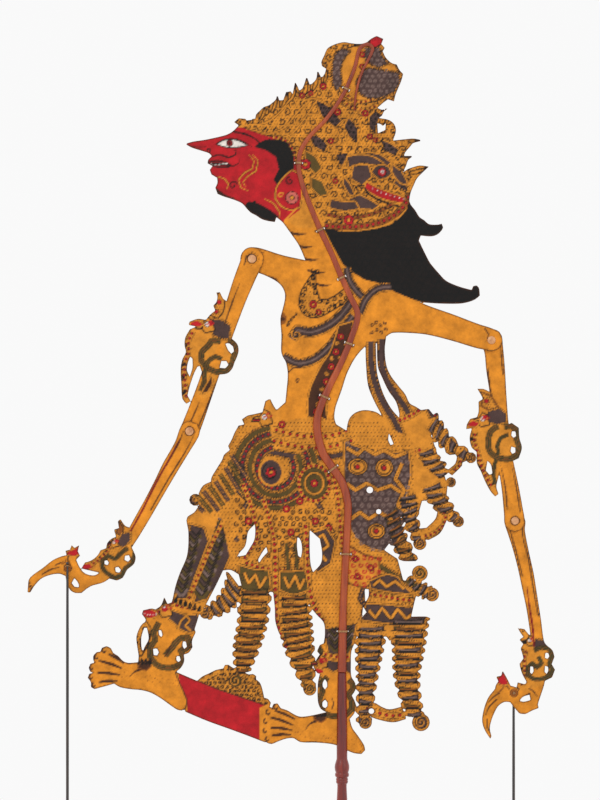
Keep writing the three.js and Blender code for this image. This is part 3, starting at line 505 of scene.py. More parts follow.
def garuda(sheet, x, z, size, face=-1, hue="red"):
    """The small bird head that guards a bracelet: curled crest, round eye and open beak."""
    s, f = size, face
    sheet.area([x - f * s, z - s * 0.5, x - f * s * 0.7, z + s * 0.8, x, z + s * 1.2,
        x + f * s * 0.5, z + s * 0.4,
                x + f * s * 1.3, z + s * 0.2, x + f * s * 1.5, z - s * 0.25, x + f * s * 0.6, z - s * 0.3,
                x + f * s * 0.2, z - s * 0.8], "gold", None)
    sheet.area([x + f * s * 0.5, z + s * 0.1, x + f * s * 1.35, z + s * 0.02, x + f * s * 1.3,
        z - s * 0.2,
                x + f * s * 0.55, z - s * 0.2], hue, None)
    sheet.dot(x - f * s * 0.05, z + s * 0.3, s * 0.3, "white", 8, "black")
    sheet.dot(x - f * s * 0.0, z + s * 0.3, s * 0.14, hue, 6)
    sheet.curl(x - f * s * 0.5, z + s * 0.55, s * 0.4, 0, 1.1, hue, 0.5, f)


def train(sheet, left, right, folds, curl, paints):
    """A ruffled cloth end: gold folds with painted, hatched fields, dotted upper edges and a curl."""
    a, b = smooth(pairs(left), False, 1.0), smooth(pairs(right), False, 1.0)

    def at(curve, t):
        place = min(max(t, 0), 1) * (len(curve) - 1)
        k = min(int(place), len(curve) - 2)
        u = place - k
        return tuple(curve[k][j] * (1 - u) + curve[k + 1][j] * u for j in (0, 1))

    def across(t, u, lift=0.0):
        p, q = at(a, t), at(b, t)
        way = (q[0] - p[0], q[1] - p[1])
        length = math.hypot(*way) or 1
        sag = math.sin(math.pi * u) * 0.9 + lift
        return (p[0] + way[0] * u + way[1] / length * sag,
            p[1] + way[1] * u - way[0] / length * sag)

    for i in range(folds):
        top, low = i / folds, (i + 1) / folds
        height = math.dist(across(top, 0.5), across(low, 0.5))
        rim = 0.17 + 0.3 / max(height, 2)
        upper, lower = top + (low - top) * rim, low - (low - top) * 0.1
        paint = paints[i % len(paints)]
        # each fold opens towards one side and closes at the other
        depth = low - top
        turn = [0.42 * (u if i % 2 else 1 - u) for u in (0.08, 0.3, 0.5, 0.7, 0.92)]
        above = [across(upper + depth * t, u) for t, u in zip(turn, (0.08, 0.3, 0.5, 0.7, 0.92))]
        below = [across(lower, u) for u in (0.92, 0.7, 0.5, 0.3, 0.08)]
        sheet.fill(above + below, "black")
        inner = [across(upper + depth * (0.1 + t), u) for t, u in zip(turn, (0.12, 0.3, 0.5, 0.7,
            0.88))]
        sheet.fill(inner + [across(lower - depth * 0.14, u) for u in (0.88, 0.5, 0.12)], paint)
        for k in range(5):
            u = 0.2 + 0.14 * k + (0.04 if i % 2 else 0)
            sheet.stroke([across(upper + depth * 0.45, u), across(lower - depth * 0.2, u)], 0.4,
                "green")
        pale = lower - (low - top) * 0.26
        sheet.stroke([across(pale, u) for u in (0.16, 0.5, 0.84)], 0.5,
            "pale_grey" if paint == "grey" else "dark_gold")
        edge = [across(top + depth * (0.08 + 0.8 * t), u) for t, u in zip(turn, (0.02, 0.3, 0.5,
            0.7, 0.98))]
        sheet.dots(edge, 2.3, 0.6, "black")
        sheet.stroke([across(low, u) for u in (0, 0.25, 0.5, 0.75, 1)], 0.45, "black")
    x, z, r = curl
    sheet.dot(x, z, r * 0.72, "black", 12)
    sheet.dot(x, z, r * 0.62, paints[0], 12)
    sheet.curl(x, z, r * 0.6, 1.5, 1.4, "gold", 1.0)
    sheet.curl(x, z, r * 0.5, 1.2, 1.2, "black", 0.35)


TRAINS = [
    ([84, 556, 91, 545, 99, 533, 115, 520], [76, 540, 84, 530, 94, 521, 112, 511], 5, (116, 515, 5),
        ("grey",)),
    ([66, 524, 70, 512, 77, 504, 86, 497], [82, 526, 86, 517, 93, 509, 95, 500], 4, (98, 493, 4.7),
        ("grey",)),
    ([68, 490, 75, 480, 83, 470, 100, 456], [90, 496, 92, 484, 98, 474, 106, 461], 5, (104.6, 457.7,
        5.3), ("grey",)),
    ([51, 484, 52, 469, 56, 456, 65, 439], [67, 484, 69, 474, 68, 461, 72, 441], 6, (70, 438, 6),
        ("grey",)),
    ([36, 466, 40, 450, 45, 437, 54, 422], [50, 474, 54, 458, 58, 444, 68, 422], 7, (70, 411, 7.2),
        ("olive",)),
    ([-103, 413, -106, 399, -114, 387, -124, 380], [-90, 396, -94, 384, -106, 375, -122, 370], 6,
        (-123, 375, 5), ("grey",)),
    ([-93, 400, -93, 370, -97, 345, -96, 322], [-64, 400, -67, 370, -74, 345, -84, 322], 11, (-96,
        314.4, 8), ("olive",)),
    ([-57, 394, -56, 366, -50, 340, -34, 307], [-30, 394, -28, 370, -26, 345, -25, 307], 12, (-29,
        307, 6), ("olive",)),
    ([56, 402, 62, 397, 69, 391, 75, 388], [60, 409, 69, 404, 76, 401, 82, 397], 4, (81, 392, 6.3),
        ("grey",)),
    ([13, 366, 13, 340, 14, 310, 14, 276], [41, 366, 36, 340, 30, 310, 25, 276], 12, (21, 277, 6),
        ("grey",)),
    ([42, 372, 46, 345, 48, 315, 58, 282], [78, 372, 74, 345, 69, 315, 73, 282], 13, (71, 277, 8),
        ("grey", "olive")),
]


# ---- The figure's hide, painted region by region, in millimetres
def paint_head(sheet):
    crown = pairs([-97, 817, -80, 822, -60, 838, -44, 852, -32, 858, -22, 866, -16, 880, -5, 888,
        20, 890, 40, 880, 56, 862,
                   48, 838, 36, 828, 48, 812, 60, 800, 58, 786, 66, 776, 62, 752, 54, 734, 30, 722, -14, 724,
                   -30, 748, -44, 770, -46, 790, -62, 802, -86, 812])
    sheet.fill(crown, "gold")
    stipple(sheet, crown, 2.9, 0.7)
    scrolls(sheet, crown, 9.5, 3.4, "black", 1.2, 8, 1.1)
    # the flames round the crown, each from its root to its tip
    flames = [(-92, 814, -98, 820, 4), (-84, 815, -80, 823, 5), (-74, 820, -69, 832, 6), (-64, 826,
        -58.5, 843, 6),
              (-55, 830, -50.4, 844, 6), (-47, 836, -42.2, 853, 6), (-36, 840, -31.8, 858, 7),
              (-27, 846, -22, 864, 7), (-17, 852, -14, 866, 5), (60, 800, 73, 800.5, 5), (54, 788,
                  65, 786.6, 5),
              (60, 772, 78, 777, 7), (36, 829, 43, 830, 4)]
    for x0, z0, x1, z1, width in flames:
        leaf(sheet, (x0, z0), (x1, z1), width)
    for x, z in ((-40, 851), (-20, 862), (62, 786.6), (41, 830), (-49, 843)):
        sheet.dot(x, z, 1.6, "black", 5)
    # tiers of the crown: curved gold bands over the dots
    for flat in ([-88, 812, -66, 806, -52, 812, -40, 826, -30, 836], [-60, 802, -46, 806, -34, 820,
        -22, 838],
                 [-46, 790, -34, 796, -22, 812, -12, 834], [-84, 815, -70, 816, -58, 824, -46,
                     838]):
        sheet.line(flat, 2.2, "black")
        sheet.line(flat, 1.3, "gold")
    sheet.line([-90, 812, -80, 806, -68, 803, -58, 803, -50, 800, -44, 790, -43, 778, -44, 766],
        4.6, "black")
    band = sheet.line([-90, 812, -80, 806, -68, 803, -58, 803, -50, 800, -44, 790, -43, 778, -44,
        766], 3.6, "gold")
    sheet.dots(band, 4.4, 1.0, "red", 0, 6, "black")
    sheet.dots([band[0]] + band, 2.2, 0.35, "black", 1.3)
    # the bun of hair behind the crown, ringed by gold
    bun = [-9, 858, -6, 872, 2, 883, 16, 886, 30, 884, 42, 876, 52, 862, 50, 850, 42, 841, 30, 836,
        16, 834, 2, 840]
    sheet.area(bun, "gold", None)
    grey_left = [0, 884, -7, 878, -9, 866, -8, 850, -4, 845, 0, 852, -1, 864, 2, 874, 8, 881]
    grey_right = [17, 862, 24, 866, 36, 864, 51, 862, 52, 854, 47, 845, 38, 840, 26, 838, 16, 842,
        12, 852]
    grey_crest = [22, 884, 34, 884, 36, 876, 42, 870, 34, 866, 24, 870, 19, 877]
    for flat in (grey_left, grey_right, grey_crest):
        curve = sheet.area(flat, "grey", None)
        scrolls(sheet, curve, 5.2, 1.7, "pale_grey", 0.6, 3)
        sheet.dots(curve + curve[:1], 2.2, 0.5, "gold", 0, 4, "black")
    for flat in ([-2, 842, 6, 832, 18, 828, 32, 832], [2, 846, 8, 838, 18, 835, 28, 838]):
        jewelled(sheet, flat, 2.6, 4.4, "gold", "red")
    sheet.area([23, 887, 27, 892.5, 31, 895, 38, 892, 34.5, 887, 30, 884], "red", None)
    # temple and back of the crown
    for flat in ([-36, 836, -24, 838, -12, 832, -4, 822, 2, 812, 4, 800], [-30, 824, -18, 824, -8,
        816, -2, 804],
                 [10, 828, 16, 818, 17, 806, 12, 794], [22, 828, 28, 818, 29, 806, 24, 794]):
        curve = sheet.line(flat, 2.4, "black")
        sheet.stroke(curve, 1.6, "gold")
    for flat in ([-24, 838, -10, 830, 0, 818, -6, 812, -18, 822], [6, 822, 14, 812, 14, 798, 6, 804,
        2, 814],
                 [30, 828, 36, 824, 32, 816, 30, 806, 24, 812, 24, 822], [34, 802, 44, 798, 52, 792,
                     48, 786, 38, 792],
                 [-30, 806, -20, 804, -12, 796, -16, 790, -26, 796], [-6, 788, 4, 790, 12, 784, 8,
                     778, -2, 778]):
        curve = sheet.area(flat, "grey", "gold", 0.9)
        scrolls(sheet, curve, 4.4, 1.5, "black", 0.4, 5)
    for flat in ([-34, 792, -24, 786, -18, 776, -24, 770, -32, 780], [-28, 768, -18, 764, -12, 752,
        -20, 750, -28, 758]):
        sheet.area(flat, "olive", "gold", 0.9)
    for x, z, r in ((-17, 849, 3), (-36, 841, 2.6), (-28, 843, 2.2), (-4, 826, 3), (21, 825, 3),
        (25, 804, 2.6),
                    (30, 801, 2.2), (18, 878, 2.6), (18, 867, 2.4), (-10, 800, 2.6), (-6, 764,
                        2.6), (10, 766, 2.4)):
        sheet.flower(x, z, r)
    sheet.flower(-33, 779, 4.8)
    # the bird's head that closes the crown at the back
    head = [6, 790, 20, 794, 34, 792, 48, 784, 56, 774, 62, 762, 60, 752, 50, 742, 34, 736, 18, 738,
        6, 746, 0, 760, 0, 776]
    curve = sheet.area(head, "gold", None, 0, None)
    scrolls(sheet, curve, 7.4, 2.8, "black", 1.2, 14, 1.2)
    stipple(sheet, curve, 3.4, 0.62)
    for flat in ([6, 748, 16, 752, 24, 748, 34, 742, 28, 738, 14, 740], [20, 790, 34, 788, 44, 781,
        40, 776, 32, 782, 22, 783],
                 [50, 768, 58, 764, 60, 754, 54, 756, 46, 762]):
        sheet.area(flat, "grey", "gold", 0.8)
    for flat in ([4, 786, 16, 788, 28, 786, 38, 780, 30, 778, 18, 780, 6, 776], [2, 768, 8, 760, 12,
        750, 6, 752, 1, 762],
                 [44, 780, 54, 772, 60, 760, 52, 762, 46, 770], [10, 778, 24, 779, 27, 768, 18, 760,
                     8, 766]):
        curve = sheet.area(flat, "grey", "gold", 0.8)
        sheet.dots(curve, 2.8, 0.6, "black", 1.4)
    sheet.area([26, 772, 30, 777.5, 36, 779, 42, 777, 45, 771, 40, 766.5, 33, 765.5], "grey",
        "gold", 1.0)
    sheet.dot(36, 772, 4.4, "black", 12)
    sheet.dot(36, 772, 3.6, "red", 12)
    sheet.dot(36.6, 772.4, 1.7, "white", 8)
    sheet.dot(36.8, 772.5, 0.9, "black", 6)
    sheet.area([22, 764, 28, 760, 40, 755, 52, 751, 60, 748, 58, 744, 48, 745, 36, 748, 26, 753, 20,
        758], "red", "gold", 0.8)
    teeth = smooth(pairs([26, 758, 40, 752, 56, 747.5]))
    sheet.dots(teeth, 4.2, 0.7, "white", 0, 4)
    sheet.line([20, 758, 26, 751, 38, 745, 52, 741], 1.8, "black")
    sheet.curl(16, 757, 4, 0.5, 1.2, "black", 0.7)
    sheet.curl(56, 756, 3.6, 3.5, 1.2, "black", 0.6, -1)
    # the edge of the crown over the hair and nape
    for flat, width in (([-16, 724, 2, 722.5, 22, 724, 36, 727.5, 48, 734, 56, 742, 61, 752], 5),
                        ([-14, 734, 4, 731, 22, 733, 36, 738, 46, 744], 2.6)):
        jewelled(sheet, flat, width, 5.2, "dark_gold", "red")
    sheet.flower(6, 729, 4.6)
    for flat in ([-12, 740, 2, 737, 16, 739, 12, 746, 0, 746, -10, 748],):
        sheet.area(flat, "grey", "gold", 0.8)


def paint_face(sheet):
    sheet.fill(pairs([-60, 802, -90, 812, -97, 812, -112, 806, -146, 801, -146, 793, -118, 786,
        -126, 780, -118, 768,
                      -116, 750, -104, 742, -88, 736, -84, 728, -60, 722, -38, 738, -38, 770, -46, 792]), "red")
    # brow, eye and its long corner
    sheet.line([-106, 806.5, -98, 808, -88, 806.5, -79, 802.5, -73, 797], 1.9, "black", (0.3, 0.5))
    sheet.area([-113, 797.2, -107, 800.6, -99, 801.6, -91, 799.6, -85, 796, -92, 794.6, -100, 794,
        -107, 795], "white", None, 0, "black")
    sheet.line([-114, 797, -107, 801, -99, 802.2, -90, 800, -80, 794.4], 1.1, "black", (0.5, 0.3))
    sheet.dot(-101, 798.1, 2.7, "deep_red", 12, "black")
    sheet.dot(-101.2, 798.2, 1.2, "black", 8)
    # nostril, moustache, lips and teeth
    sheet.curl(-120.5, 791.6, 3.0, 3.6, 1.1, "black", 0.8)
    sheet.line([-141, 796.6, -130, 794.6, -122, 794.8], 0.5, "deep_red")
    sheet.line([-118.5, 785.5, -110, 787.5, -102, 785, -96, 787.5, -95, 791.5, -98.5, 792.5], 1.8,
        "black", (0.6, 0.2))
    sheet.area([-120, 781.2, -112, 782.4, -104, 780.4, -99, 777.4, -105, 776.4, -113, 776.8, -119,
        778], "deep_red", None)
    for k in range(5):
        x = -117 + 3.2 * k
        sheet.fill(pairs([x - 1.3, 780.4, x + 1.3, 780.2, x + 1.2, 777.8, x - 1.2, 778]), "white")
    sheet.line([-121, 779.2, -110, 779.2, -98, 777.2, -93, 780, -92.5, 784], 0.8, "black", (1, 0.4))
    # the drawn folds of cheek, jaw and chin
    for flat in ([-84, 788, -79, 782, -81, 775, -88, 771, -93, 765, -91, 758, -84, 755],
                 [-80.5, 788, -75.5, 782, -77.5, 773, -85, 768, -89, 763, -87, 759],
                 [-112, 768, -106, 766, -102, 761, -104, 756.5], [-70, 748, -62, 744, -56, 736, -57,
                     729]):
        sheet.line(flat, 2.0, "black", (0.4, 0.4))
        sheet.line(flat, 0.7, "gold", (0.5, 0.5))
    sheet.curl(-98, 760, 4.2, 0.2, 1.1, "black", 0.9)
    # beard and whiskers in black
    sheet.line([-117, 763, -113, 756, -106, 750.5, -97, 748], 3.4, "black", (0.5, 0.5))
    for x, z, way in along(smooth(pairs([-115, 758, -108, 751, -98, 747.6])), 3.4):
        sheet.curl(x, z, 1.5, 3 * way, 1.0, "line", 0.4)
    nape = sheet.area([-88, 739, -85, 744.5, -79, 744.5, -71, 741, -63, 736, -58, 732, -59, 727,
        -68, 726, -78, 730, -86, 735], "black", None)
    scrolls(sheet, nape, 4.6, 1.6, "hair", 0.4, 11)
    side = sheet.area([-78, 795, -70, 800, -60, 801, -50, 799, -44.5, 788, -44, 774, -49, 765, -57,
        759.5, -61, 765, -56, 775,
                       -59, 786, -68, 792], "hair", None)
    scrolls(sheet, side, 4.4, 1.6, "black", 0.45, 12)
    # ear jewel
    sheet.area([-45, 774, -52, 768, -59, 758, -60, 748, -54, 741, -46, 738, -38, 740, -36, 752, -37,
        770], "red", "gold", 1.1)
    sheet.curl(-47, 764, 4, 1.5, 1.2, "black", 0.8)
    sheet.curl(-55, 751, 3, 0.4, 1.0, "gold", 0.9)
    sheet.flower(-45, 749, 5.6, "pink", "gold", 8)
    sheet.dot(-45, 749, 1.6, "gold", 8, "black")
    sheet.line([-40, 740, -46, 734, -52, 728], 1.4, "gold")


def paint_hair(sheet):
    hair = pairs([-18, 723, -2, 719, 16, 719, 32, 721.5, 44, 725, 52, 731, 58, 738, 61, 748, 66,
        742, 76, 730, 94, 728, 92, 718,
                  84, 712, 78, 704, 82, 690, 96, 676, 112, 670, 128, 672, 126, 656, 106, 651, 84, 653, 66, 656.6, 50, 663,
                  34, 671, 20, 674.6, 9.6, 681.6, 0.6, 689.4, -9, 706.7])
    sheet.fill(hair, "hair")
    scrolls(sheet, hair, 6.0, 2.3, "black", 0.5, 21, 1.3)
    for flat in ([0, 716, 22, 708, 44, 694, 66, 678, 96, 664], [8, 704, 28, 694, 50, 680, 78, 664],
                 [14, 718, 40, 712, 62, 706, 74, 712, 86, 720], [40, 722, 56, 722, 66, 730]):
        sheet.line(flat, 0.5, "black")


def paint_trunk(sheet):
    trunk = pairs([-62, 736, -40, 722, -17, 722, -9, 706.7, 0.6, 689.4, 9.3, 682, 20, 675.4, 34,
        672, 49, 663.5, 69, 655.4, 100, 645,
                   146, 634, 148, 608, 120, 612, 60, 626, 30, 618, 4, 590, -8, 560, -2, 530, -54, 540, -60, 600, -60, 640,
                   -50, 672, -96, 684, -96, 708, -60, 700])
    sheet.fill(trunk, "skin")
    # the beaded folds of the neck
    for k in range(5):
        x, z = -40 + 5.6 * k, 716 - 11.5 * k
        sheet.line([x - 8, z + 2.4, x, z, x + 8, z + 0.6], 2.2, "line", (0.8, 0.3))
    # leaf collar
    collar = [-24, 684, -30, 676, -37, 664, -39, 652, -34, 644, -26, 641, -17, 643, -8, 648, 4, 656,
        12, 664, 8, 672,
              -2, 664, -12, 658, -20, 658, -23, 668]
    curve = sheet.area(collar, "gold", None)
    stipple(sheet, curve, 3.0, 0.45)
    for x, z, way in along(curve + curve[:1], 6.4):
        sheet.curl(x - math.sin(way) * 2.0, z + math.cos(way) * 2.0, 2.2, way, 1.1, "black", 0.5)
    beads = smooth(pairs([-26, 682, -25, 668, -20, 657, -8, 651, 2, 655, 8, 664]))
    sheet.dots(beads, 4.4, 1.3, "black", 0, 8)
    sheet.flower(-26, 653, 3.4)
    sheet.flower(-21, 646, 2.6)
    # breast and arm pit
    sheet.fill(pairs([-60, 645, -54, 647, -49.5, 642, -51, 636, -60, 632]), "dark_gold")
    sheet.dot(-53.5, 640, 2.2, "line", 8)
    for k in range(5):
        sheet.curl(-49 + k * 1.8, 634 + k * 2.6, 1.5, k, 0.9, "black", 0.35)
    for k in range(8):
        sheet.curl(27 + (k % 4) * 4.0, 634 - (k // 4) * 6 + (k % 2) * 2.4, 1.9, k * 0.8, 1.0,
            "line", 0.4)
    # the grey shoulder sash: three banded loops
    sash = ([-53, 606, -40, 600, -26, 603, -12, 614, 0, 630, 10, 643],
            [-45, 622, -40, 630, -28, 628, -14, 633, -2, 642, 9, 656],
            [4, 686, 7, 674, 14, 664, 22, 657], [16, 645, 22, 658, 32, 667, 44, 669])
    for k, flat in enumerate(sash):
        width = (6.4, 7.4, 6.0, 6.0)[k]
        curve = sheet.line(flat, width + 2.6, "black")
        sheet.stroke(curve, width + 1.7, "gold")
        sheet.stroke(curve, width, "black")
        sheet.stroke(curve, width - 1.0, "grey")
        sheet.stroke(curve, 0.9, "pale_grey")
        sheet.dots(curve, 2.2, 0.4, "black", width * 0.3)
        sheet.dots(curve, 2.2, 0.4, "black", -width * 0.3)
        sheet.dots(curve, 2.0, 0.45, "black", width / 2 + 0.5)
    sheet.curl(-41, 626, 4.6, 2.2, 1.3, "gold", 1.6)
    sheet.curl(-41, 626, 3.8, 2.0, 1.2, "black", 0.5)
    # jewelled strip down the belly
    strip = [-3, 634, -10, 612, -20, 596, -29, 576, -31, 556, -26, 540, -12, 542, -14, 562, -10,
        580, -2, 600, 8, 624, 10, 638]
    curve = sheet.area(strip, "line", "gold", 0.9)
    for k in range(6):
        x, z = -1 - k * 4.4, 624 - k * 13.5
        sheet.flower(x, z, 3.0, "red", "gold", 6)
        sheet.curl(x - 3.6, z - 6.4, 1.8, k, 1.1, "gold", 0.6)
        sheet.curl(x + 4, z - 6, 1.8, k + 2, 1.1, "gold", 0.6, -1)
    # belly lines and navel
    sheet.line([-50, 590, -44, 596, -36, 596], 0.5, "line", (1, 0.2))
    sheet.curl(-40, 584, 2.2, 0.5, 1.0, "line", 0.5)
    for flat in ([-80, 706, -76, 700, -70, 699], [-70, 679.5, -60, 676, -55, 671], [128, 632, 132,
        626, 130, 620]):
        sheet.line(flat, 0.5, "line", (1, 0.3))


def banded(sheet, flat, width, paint="grey", rim=1.0):
    """A cloth band: painted and dotted between gold edges."""
    curve = sheet.line(flat, width + 2 * rim + 0.9, "black")
    sheet.stroke(curve, width + 2 * rim, "gold")
    sheet.stroke(curve, width, "black")
    sheet.stroke(curve, width - 0.9, paint)
    sheet.dots(curve, 2.0, 0.4, "black", width / 2 + rim * 0.5)
    sheet.dots(curve, 2.0, 0.4, "black", -width / 2 - rim * 0.5)
    return curve


def paint_tail(sheet):
    tail = pairs([28, 622, 49, 617, 68, 605, 90, 590, 97, 579, 90, 571, 83, 566, 96, 560, 84, 556,
        76, 541, 62, 540, 64, 559,
                  46, 585, 33, 596, 10, 590, -4, 560, -4, 530, 30, 520, 58, 524, 40, 560])
    sheet.fill(tail, "gold")
    banded(sheet, [46, 590, 58, 594, 70, 586, 76, 574, 80, 560, 84, 552], 8, "grey", 1.4)
    sheet.dots(smooth(pairs([46, 590, 58, 594, 70, 586, 76, 574, 80, 560, 84, 552])), 5.0, 1.3,
        "red", 0, 6, "black")
    sheet.area([72, 590, 78, 582, 82, 573, 92, 576, 95, 580, 88, 589, 78, 597], "grey", "gold")
    sheet.area([14, 590, 20, 588, 26, 580, 28, 568, 22, 560, 12, 564, 8, 576], "grey", "gold")
    for x, z in ((18, 575), (84, 584), (86, 562)):
        sheet.flower(x, z, 2.8)
    sheet.area([16, 542, 22, 547, 32, 546, 38, 538, 36, 528, 26, 524, 17, 528, 13, 535], "gold",
        "gold", 1.4)
    sheet.curl(26, 535, 7, 0.5, 1.4, "black", 0.8)
    for k in range(9):
        x = 38 + 4.6 * k
        sheet.line([x, 600 - 2.9 * k, x + 5, 594 - 3.2 * k], 0.5, "black", (1, 0.4))
    # the ribbons that fly out behind, with their gold ends
    for flat in ([36, 622, 35.5, 601, 40, 585, 49, 571, 57, 560, 62, 550], [26, 620, 26.5, 598, 31,
        578, 39, 561, 48, 547, 54, 532, 58, 514]):
        banded(sheet, flat, 5.2, "grey", 1.3)
    for flat in ([50, 548, 60, 552, 73, 560], [46, 513, 56, 517, 70, 522]):
        jewelled(sheet, flat, 4.6, 4.6, "gold", "red")
    for flat in ([88, 561, 95, 556, 100, 548, 108, 540],):
        banded(sheet, flat, 2.6, "grey", 0.8)


def paint_skirt(sheet):
    skirt = pairs([-62, 546, -66, 540, -93, 548, -100, 520, -140, 480, -140, 470, -124, 466, -108,
        460, -100, 420, -92, 400,
                   -60, 396, -30, 392, -20, 360, 14, 366, 44, 366, 80, 372, 84, 400, 68, 420, 70, 440, 66, 470, 64, 490,
                   66, 520, 60, 534, 30, 548, 0, 548, -30, 552])
    sheet.fill(skirt, "gold")
    stipple(sheet, skirt, 3.4, 0.7)
    for flat in ([-96, 440, -86, 452, -92, 464, -84, 476, -94, 486], [-20, 448, -14, 462, -22, 474,
        -12, 486],
                 [-70, 402, -58, 410, -48, 402, -38, 410, -30, 402], [20, 400, 16, 388, 24, 378, 16,
                     368]):
        sheet.line(flat, 4.6, "black")
        sheet.line(flat, 3.0, "grey")
        sheet.dots(smooth(pairs(flat)), 2.8, 0.6, "gold")
    # the belt
    for flat in ([-62, 541, -44, 536, -24, 534, -6, 536, 8, 541], [-64, 531, -44, 526, -24, 524, -6,
        526, 10, 531]):
        jewelled(sheet, flat, 4.6, 6.4, "gold", "red")
    banded(sheet, [-68, 521, -46, 517, -22, 515, 0, 518, 16, 524], 4.4, "grey", 0.9)
    # the draped folds over the hip: rings of cloth
    for k, (rx, rz, paint) in enumerate(((36, 36, "olive"), (30, 31, "grey"), (23, 25, "olive"),
        (16.5, 18.5, "grey"))):
        ring = []
        for j in range(29):
            angle = -0.25 + 5.1 * j / 28 + math.pi * 0.62
            ring.append((-60 + rx * math.cos(angle), 506 + rz * math.sin(angle)))
        sheet.stroke(ring, 7.2, "black")
        sheet.stroke(ring, 6.4, "gold")
        sheet.stroke(ring, 4.4, "black")
        sheet.stroke(ring, 3.6, paint)
        sheet.dots(ring, 2.0, 0.42, "black", 2.8)
        sheet.dots(ring, 2.0, 0.42, "black", -2.8)
        if k % 2:
            sheet.dots(ring, 5.2, 1.1, "red", 0, 6, "black")
    core = [(-64 + 10.5 * math.cos(a * math.pi / 9),
        502 + 12 * math.sin(a * math.pi / 9)) for a in range(18)]
    sheet.fill(core, "grey")
    sheet.stroke(core, 2.0, "gold", True)
    sheet.flower(-64, 502, 4.6)
    sheet.curl(-64, 502, 8.4, 2.0, 1.2, "black", 0.5)
    ring = [(-25 + 14 * math.cos(a * math.pi / 9),
        492 + 16 * math.sin(a * math.pi / 9)) for a in range(18)]
    sheet.fill(ring, "olive")
    for reach, width in ((1.0, 3.4), (0.6, 1.6)):
        loop = [(-25 + (x + 25) * reach, 492 + (z - 492) * reach) for x, z in ring]
        sheet.stroke(loop, width + 0.9, "black", True)
        sheet.stroke(loop, width, "gold", True)
    sheet.dots(ring + ring[:1], 4.8, 1.1, "red", 0, 6, "black")
    sheet.flower(-25, 492, 3.4)
    # gold ground with scrolls and stones
    ground = pairs([-96, 480, -82, 462, -60, 462, -40, 470, -10, 468, -4, 440, -34, 430, -60, 424,
        -88, 432, -98, 455])
    sheet.fill(ground, "gold")
    scrolls(sheet, ground, 6.4, 2.5, "black", 0.45, 31, 1.2)
    for x, z in ((-50, 469), (-38, 476), (-84, 458), (-24, 458), (-46, 448), (-12, 452)):
        sheet.flower(x, z, 3.2)
    for flat in ([-90, 492, -84, 478, -79, 462, -76, 442, -88, 424], [-71, 478, -66, 462, -61, 440,
        -61, 424],
                 [-88, 421, -72, 416, -55, 414.5, -38, 414.5, -24, 417], [-8, 500, -4, 480, -2, 460,
                     0, 440, 4, 420]):
        jewelled(sheet, flat, 4.2, 5.0, "gold", "red")
    # pendant strips of the loincloth
    for flat, paint in (([-61, 440, -60, 420, -60, 396, -59, 370, -54, 352, -48, 342], "red"),
                        ([-33, 456, -31, 430, -30, 400, -24, 380, -15, 365], "red")):
        jewelled(sheet, flat, 5.4, 5.8, "gold", paint)
    for flat in ([-50, 438, -49, 424, -48, 410], [-42, 438, -41, 424, -40, 412]):
        banded(sheet, flat, 3.2, "olive", 0.8)
    # grey cloth behind the rod with its gold medallions
    cloth = [2, 530, 24, 522, 44, 520, 60, 522, 62, 500, 58, 480, 60, 462, 50, 440, 40, 430, 20,
        436, 8, 450, 2, 480]
    curve = sheet.area(cloth, "grey", "gold", 1.4)
    scrolls(sheet, curve, 6.4, 2.3, "pale_grey", 0.55, 41, 1.2)
    for flat in ([4, 524, 14, 518, 20, 524, 30, 518, 38, 522, 48, 516, 58, 520], [4, 492, 12, 486,
        22, 492, 32, 486, 44, 490, 56, 482],
                 [8, 460, 16, 466, 24, 460, 34, 466, 46, 458, 56, 462], [54, 510, 48, 496, 56, 486,
                     50, 472, 58, 466]):
        sheet.line(flat, 4.2, "black")
        sheet.dots(sheet.line(flat, 3.0, "gold"), 2.6, 0.6, "black")
    for x, z, rx, rz in ((14, 507, 9, 7.5), (38, 506, 8, 8), (31, 449, 8, 7)):
        medal = [(x + rx * math.cos(a * math.pi / 8),
            z + rz * math.sin(a * math.pi / 8)) for a in range(16)]
        sheet.fill(medal, "gold")
        sheet.stroke(medal, 1.0, "black", True)
        sheet.stroke([(x + (p - x) * 0.74, z + (q - z) * 0.74) for p, q in medal], 0.5, "black",
            True)
        sheet.curl(x, z, rx * 0.5, 1.0, 1.2, "line", 0.6)
        sheet.dot(x, z, 1.8, "red", 8, "black")
    # the lower corner, red on gold
    corner = [6, 436, 20, 428, 34, 424, 34, 404, 20, 398, 6, 402, 0, 420]
    curve = sheet.area(corner, "gold", "dark_gold")
    scrolls(sheet, curve, 6.6, 2.4, "red", 0.8, 42, 1.1)
    for x, z in ((12, 424), (26, 416), (14, 408)):
        sheet.flower(x, z, 2.8)
    for flat in ([22, 393, 40, 390, 58, 387, 68, 387], [16, 378, 40, 374, 64, 372, 78, 374]):
        jewelled(sheet, flat, 4.2, 5.2, "gold", "red")
    banded(sheet, [34, 418, 46, 410, 58, 404, 70, 398], 4.0, "olive", 0.9)
    # bird head at the hip
    garuda(sheet, -70, 549.5, 7.6, -1)
    sheet.flower(-54, 545, 3.2)
    # ruffled cloth down the left contour
    hip = pairs([-98, 520, -104, 508, -114, 494, -126, 484, -140, 478])
    low = pairs([-84, 500, -92, 488, -102, 476, -112, 466, -128, 466])
    for k in range(9):
        t = (k + 0.5) / 9 * 4
        i, u = int(t), t - int(t)
        a = tuple(hip[i][j] * (1 - u) + hip[i + 1][j] * u for j in (0, 1))
        b = tuple(low[i][j] * (1 - u) + low[i + 1][j] * u for j in (0, 1))
        sheet.stroke([a, b], 4.2, "black")
        sheet.stroke([a, b], 3.2, ("grey", "olive")[k % 2])
        sheet.dots([a, b], 1.9, 0.4, "gold")
    sheet.curl(-132, 477, 5.2, 2.4, 1.4, "gold", 1.3)
    sheet.curl(-132, 477, 5.0, 2.1, 1.3, "black", 0.4)


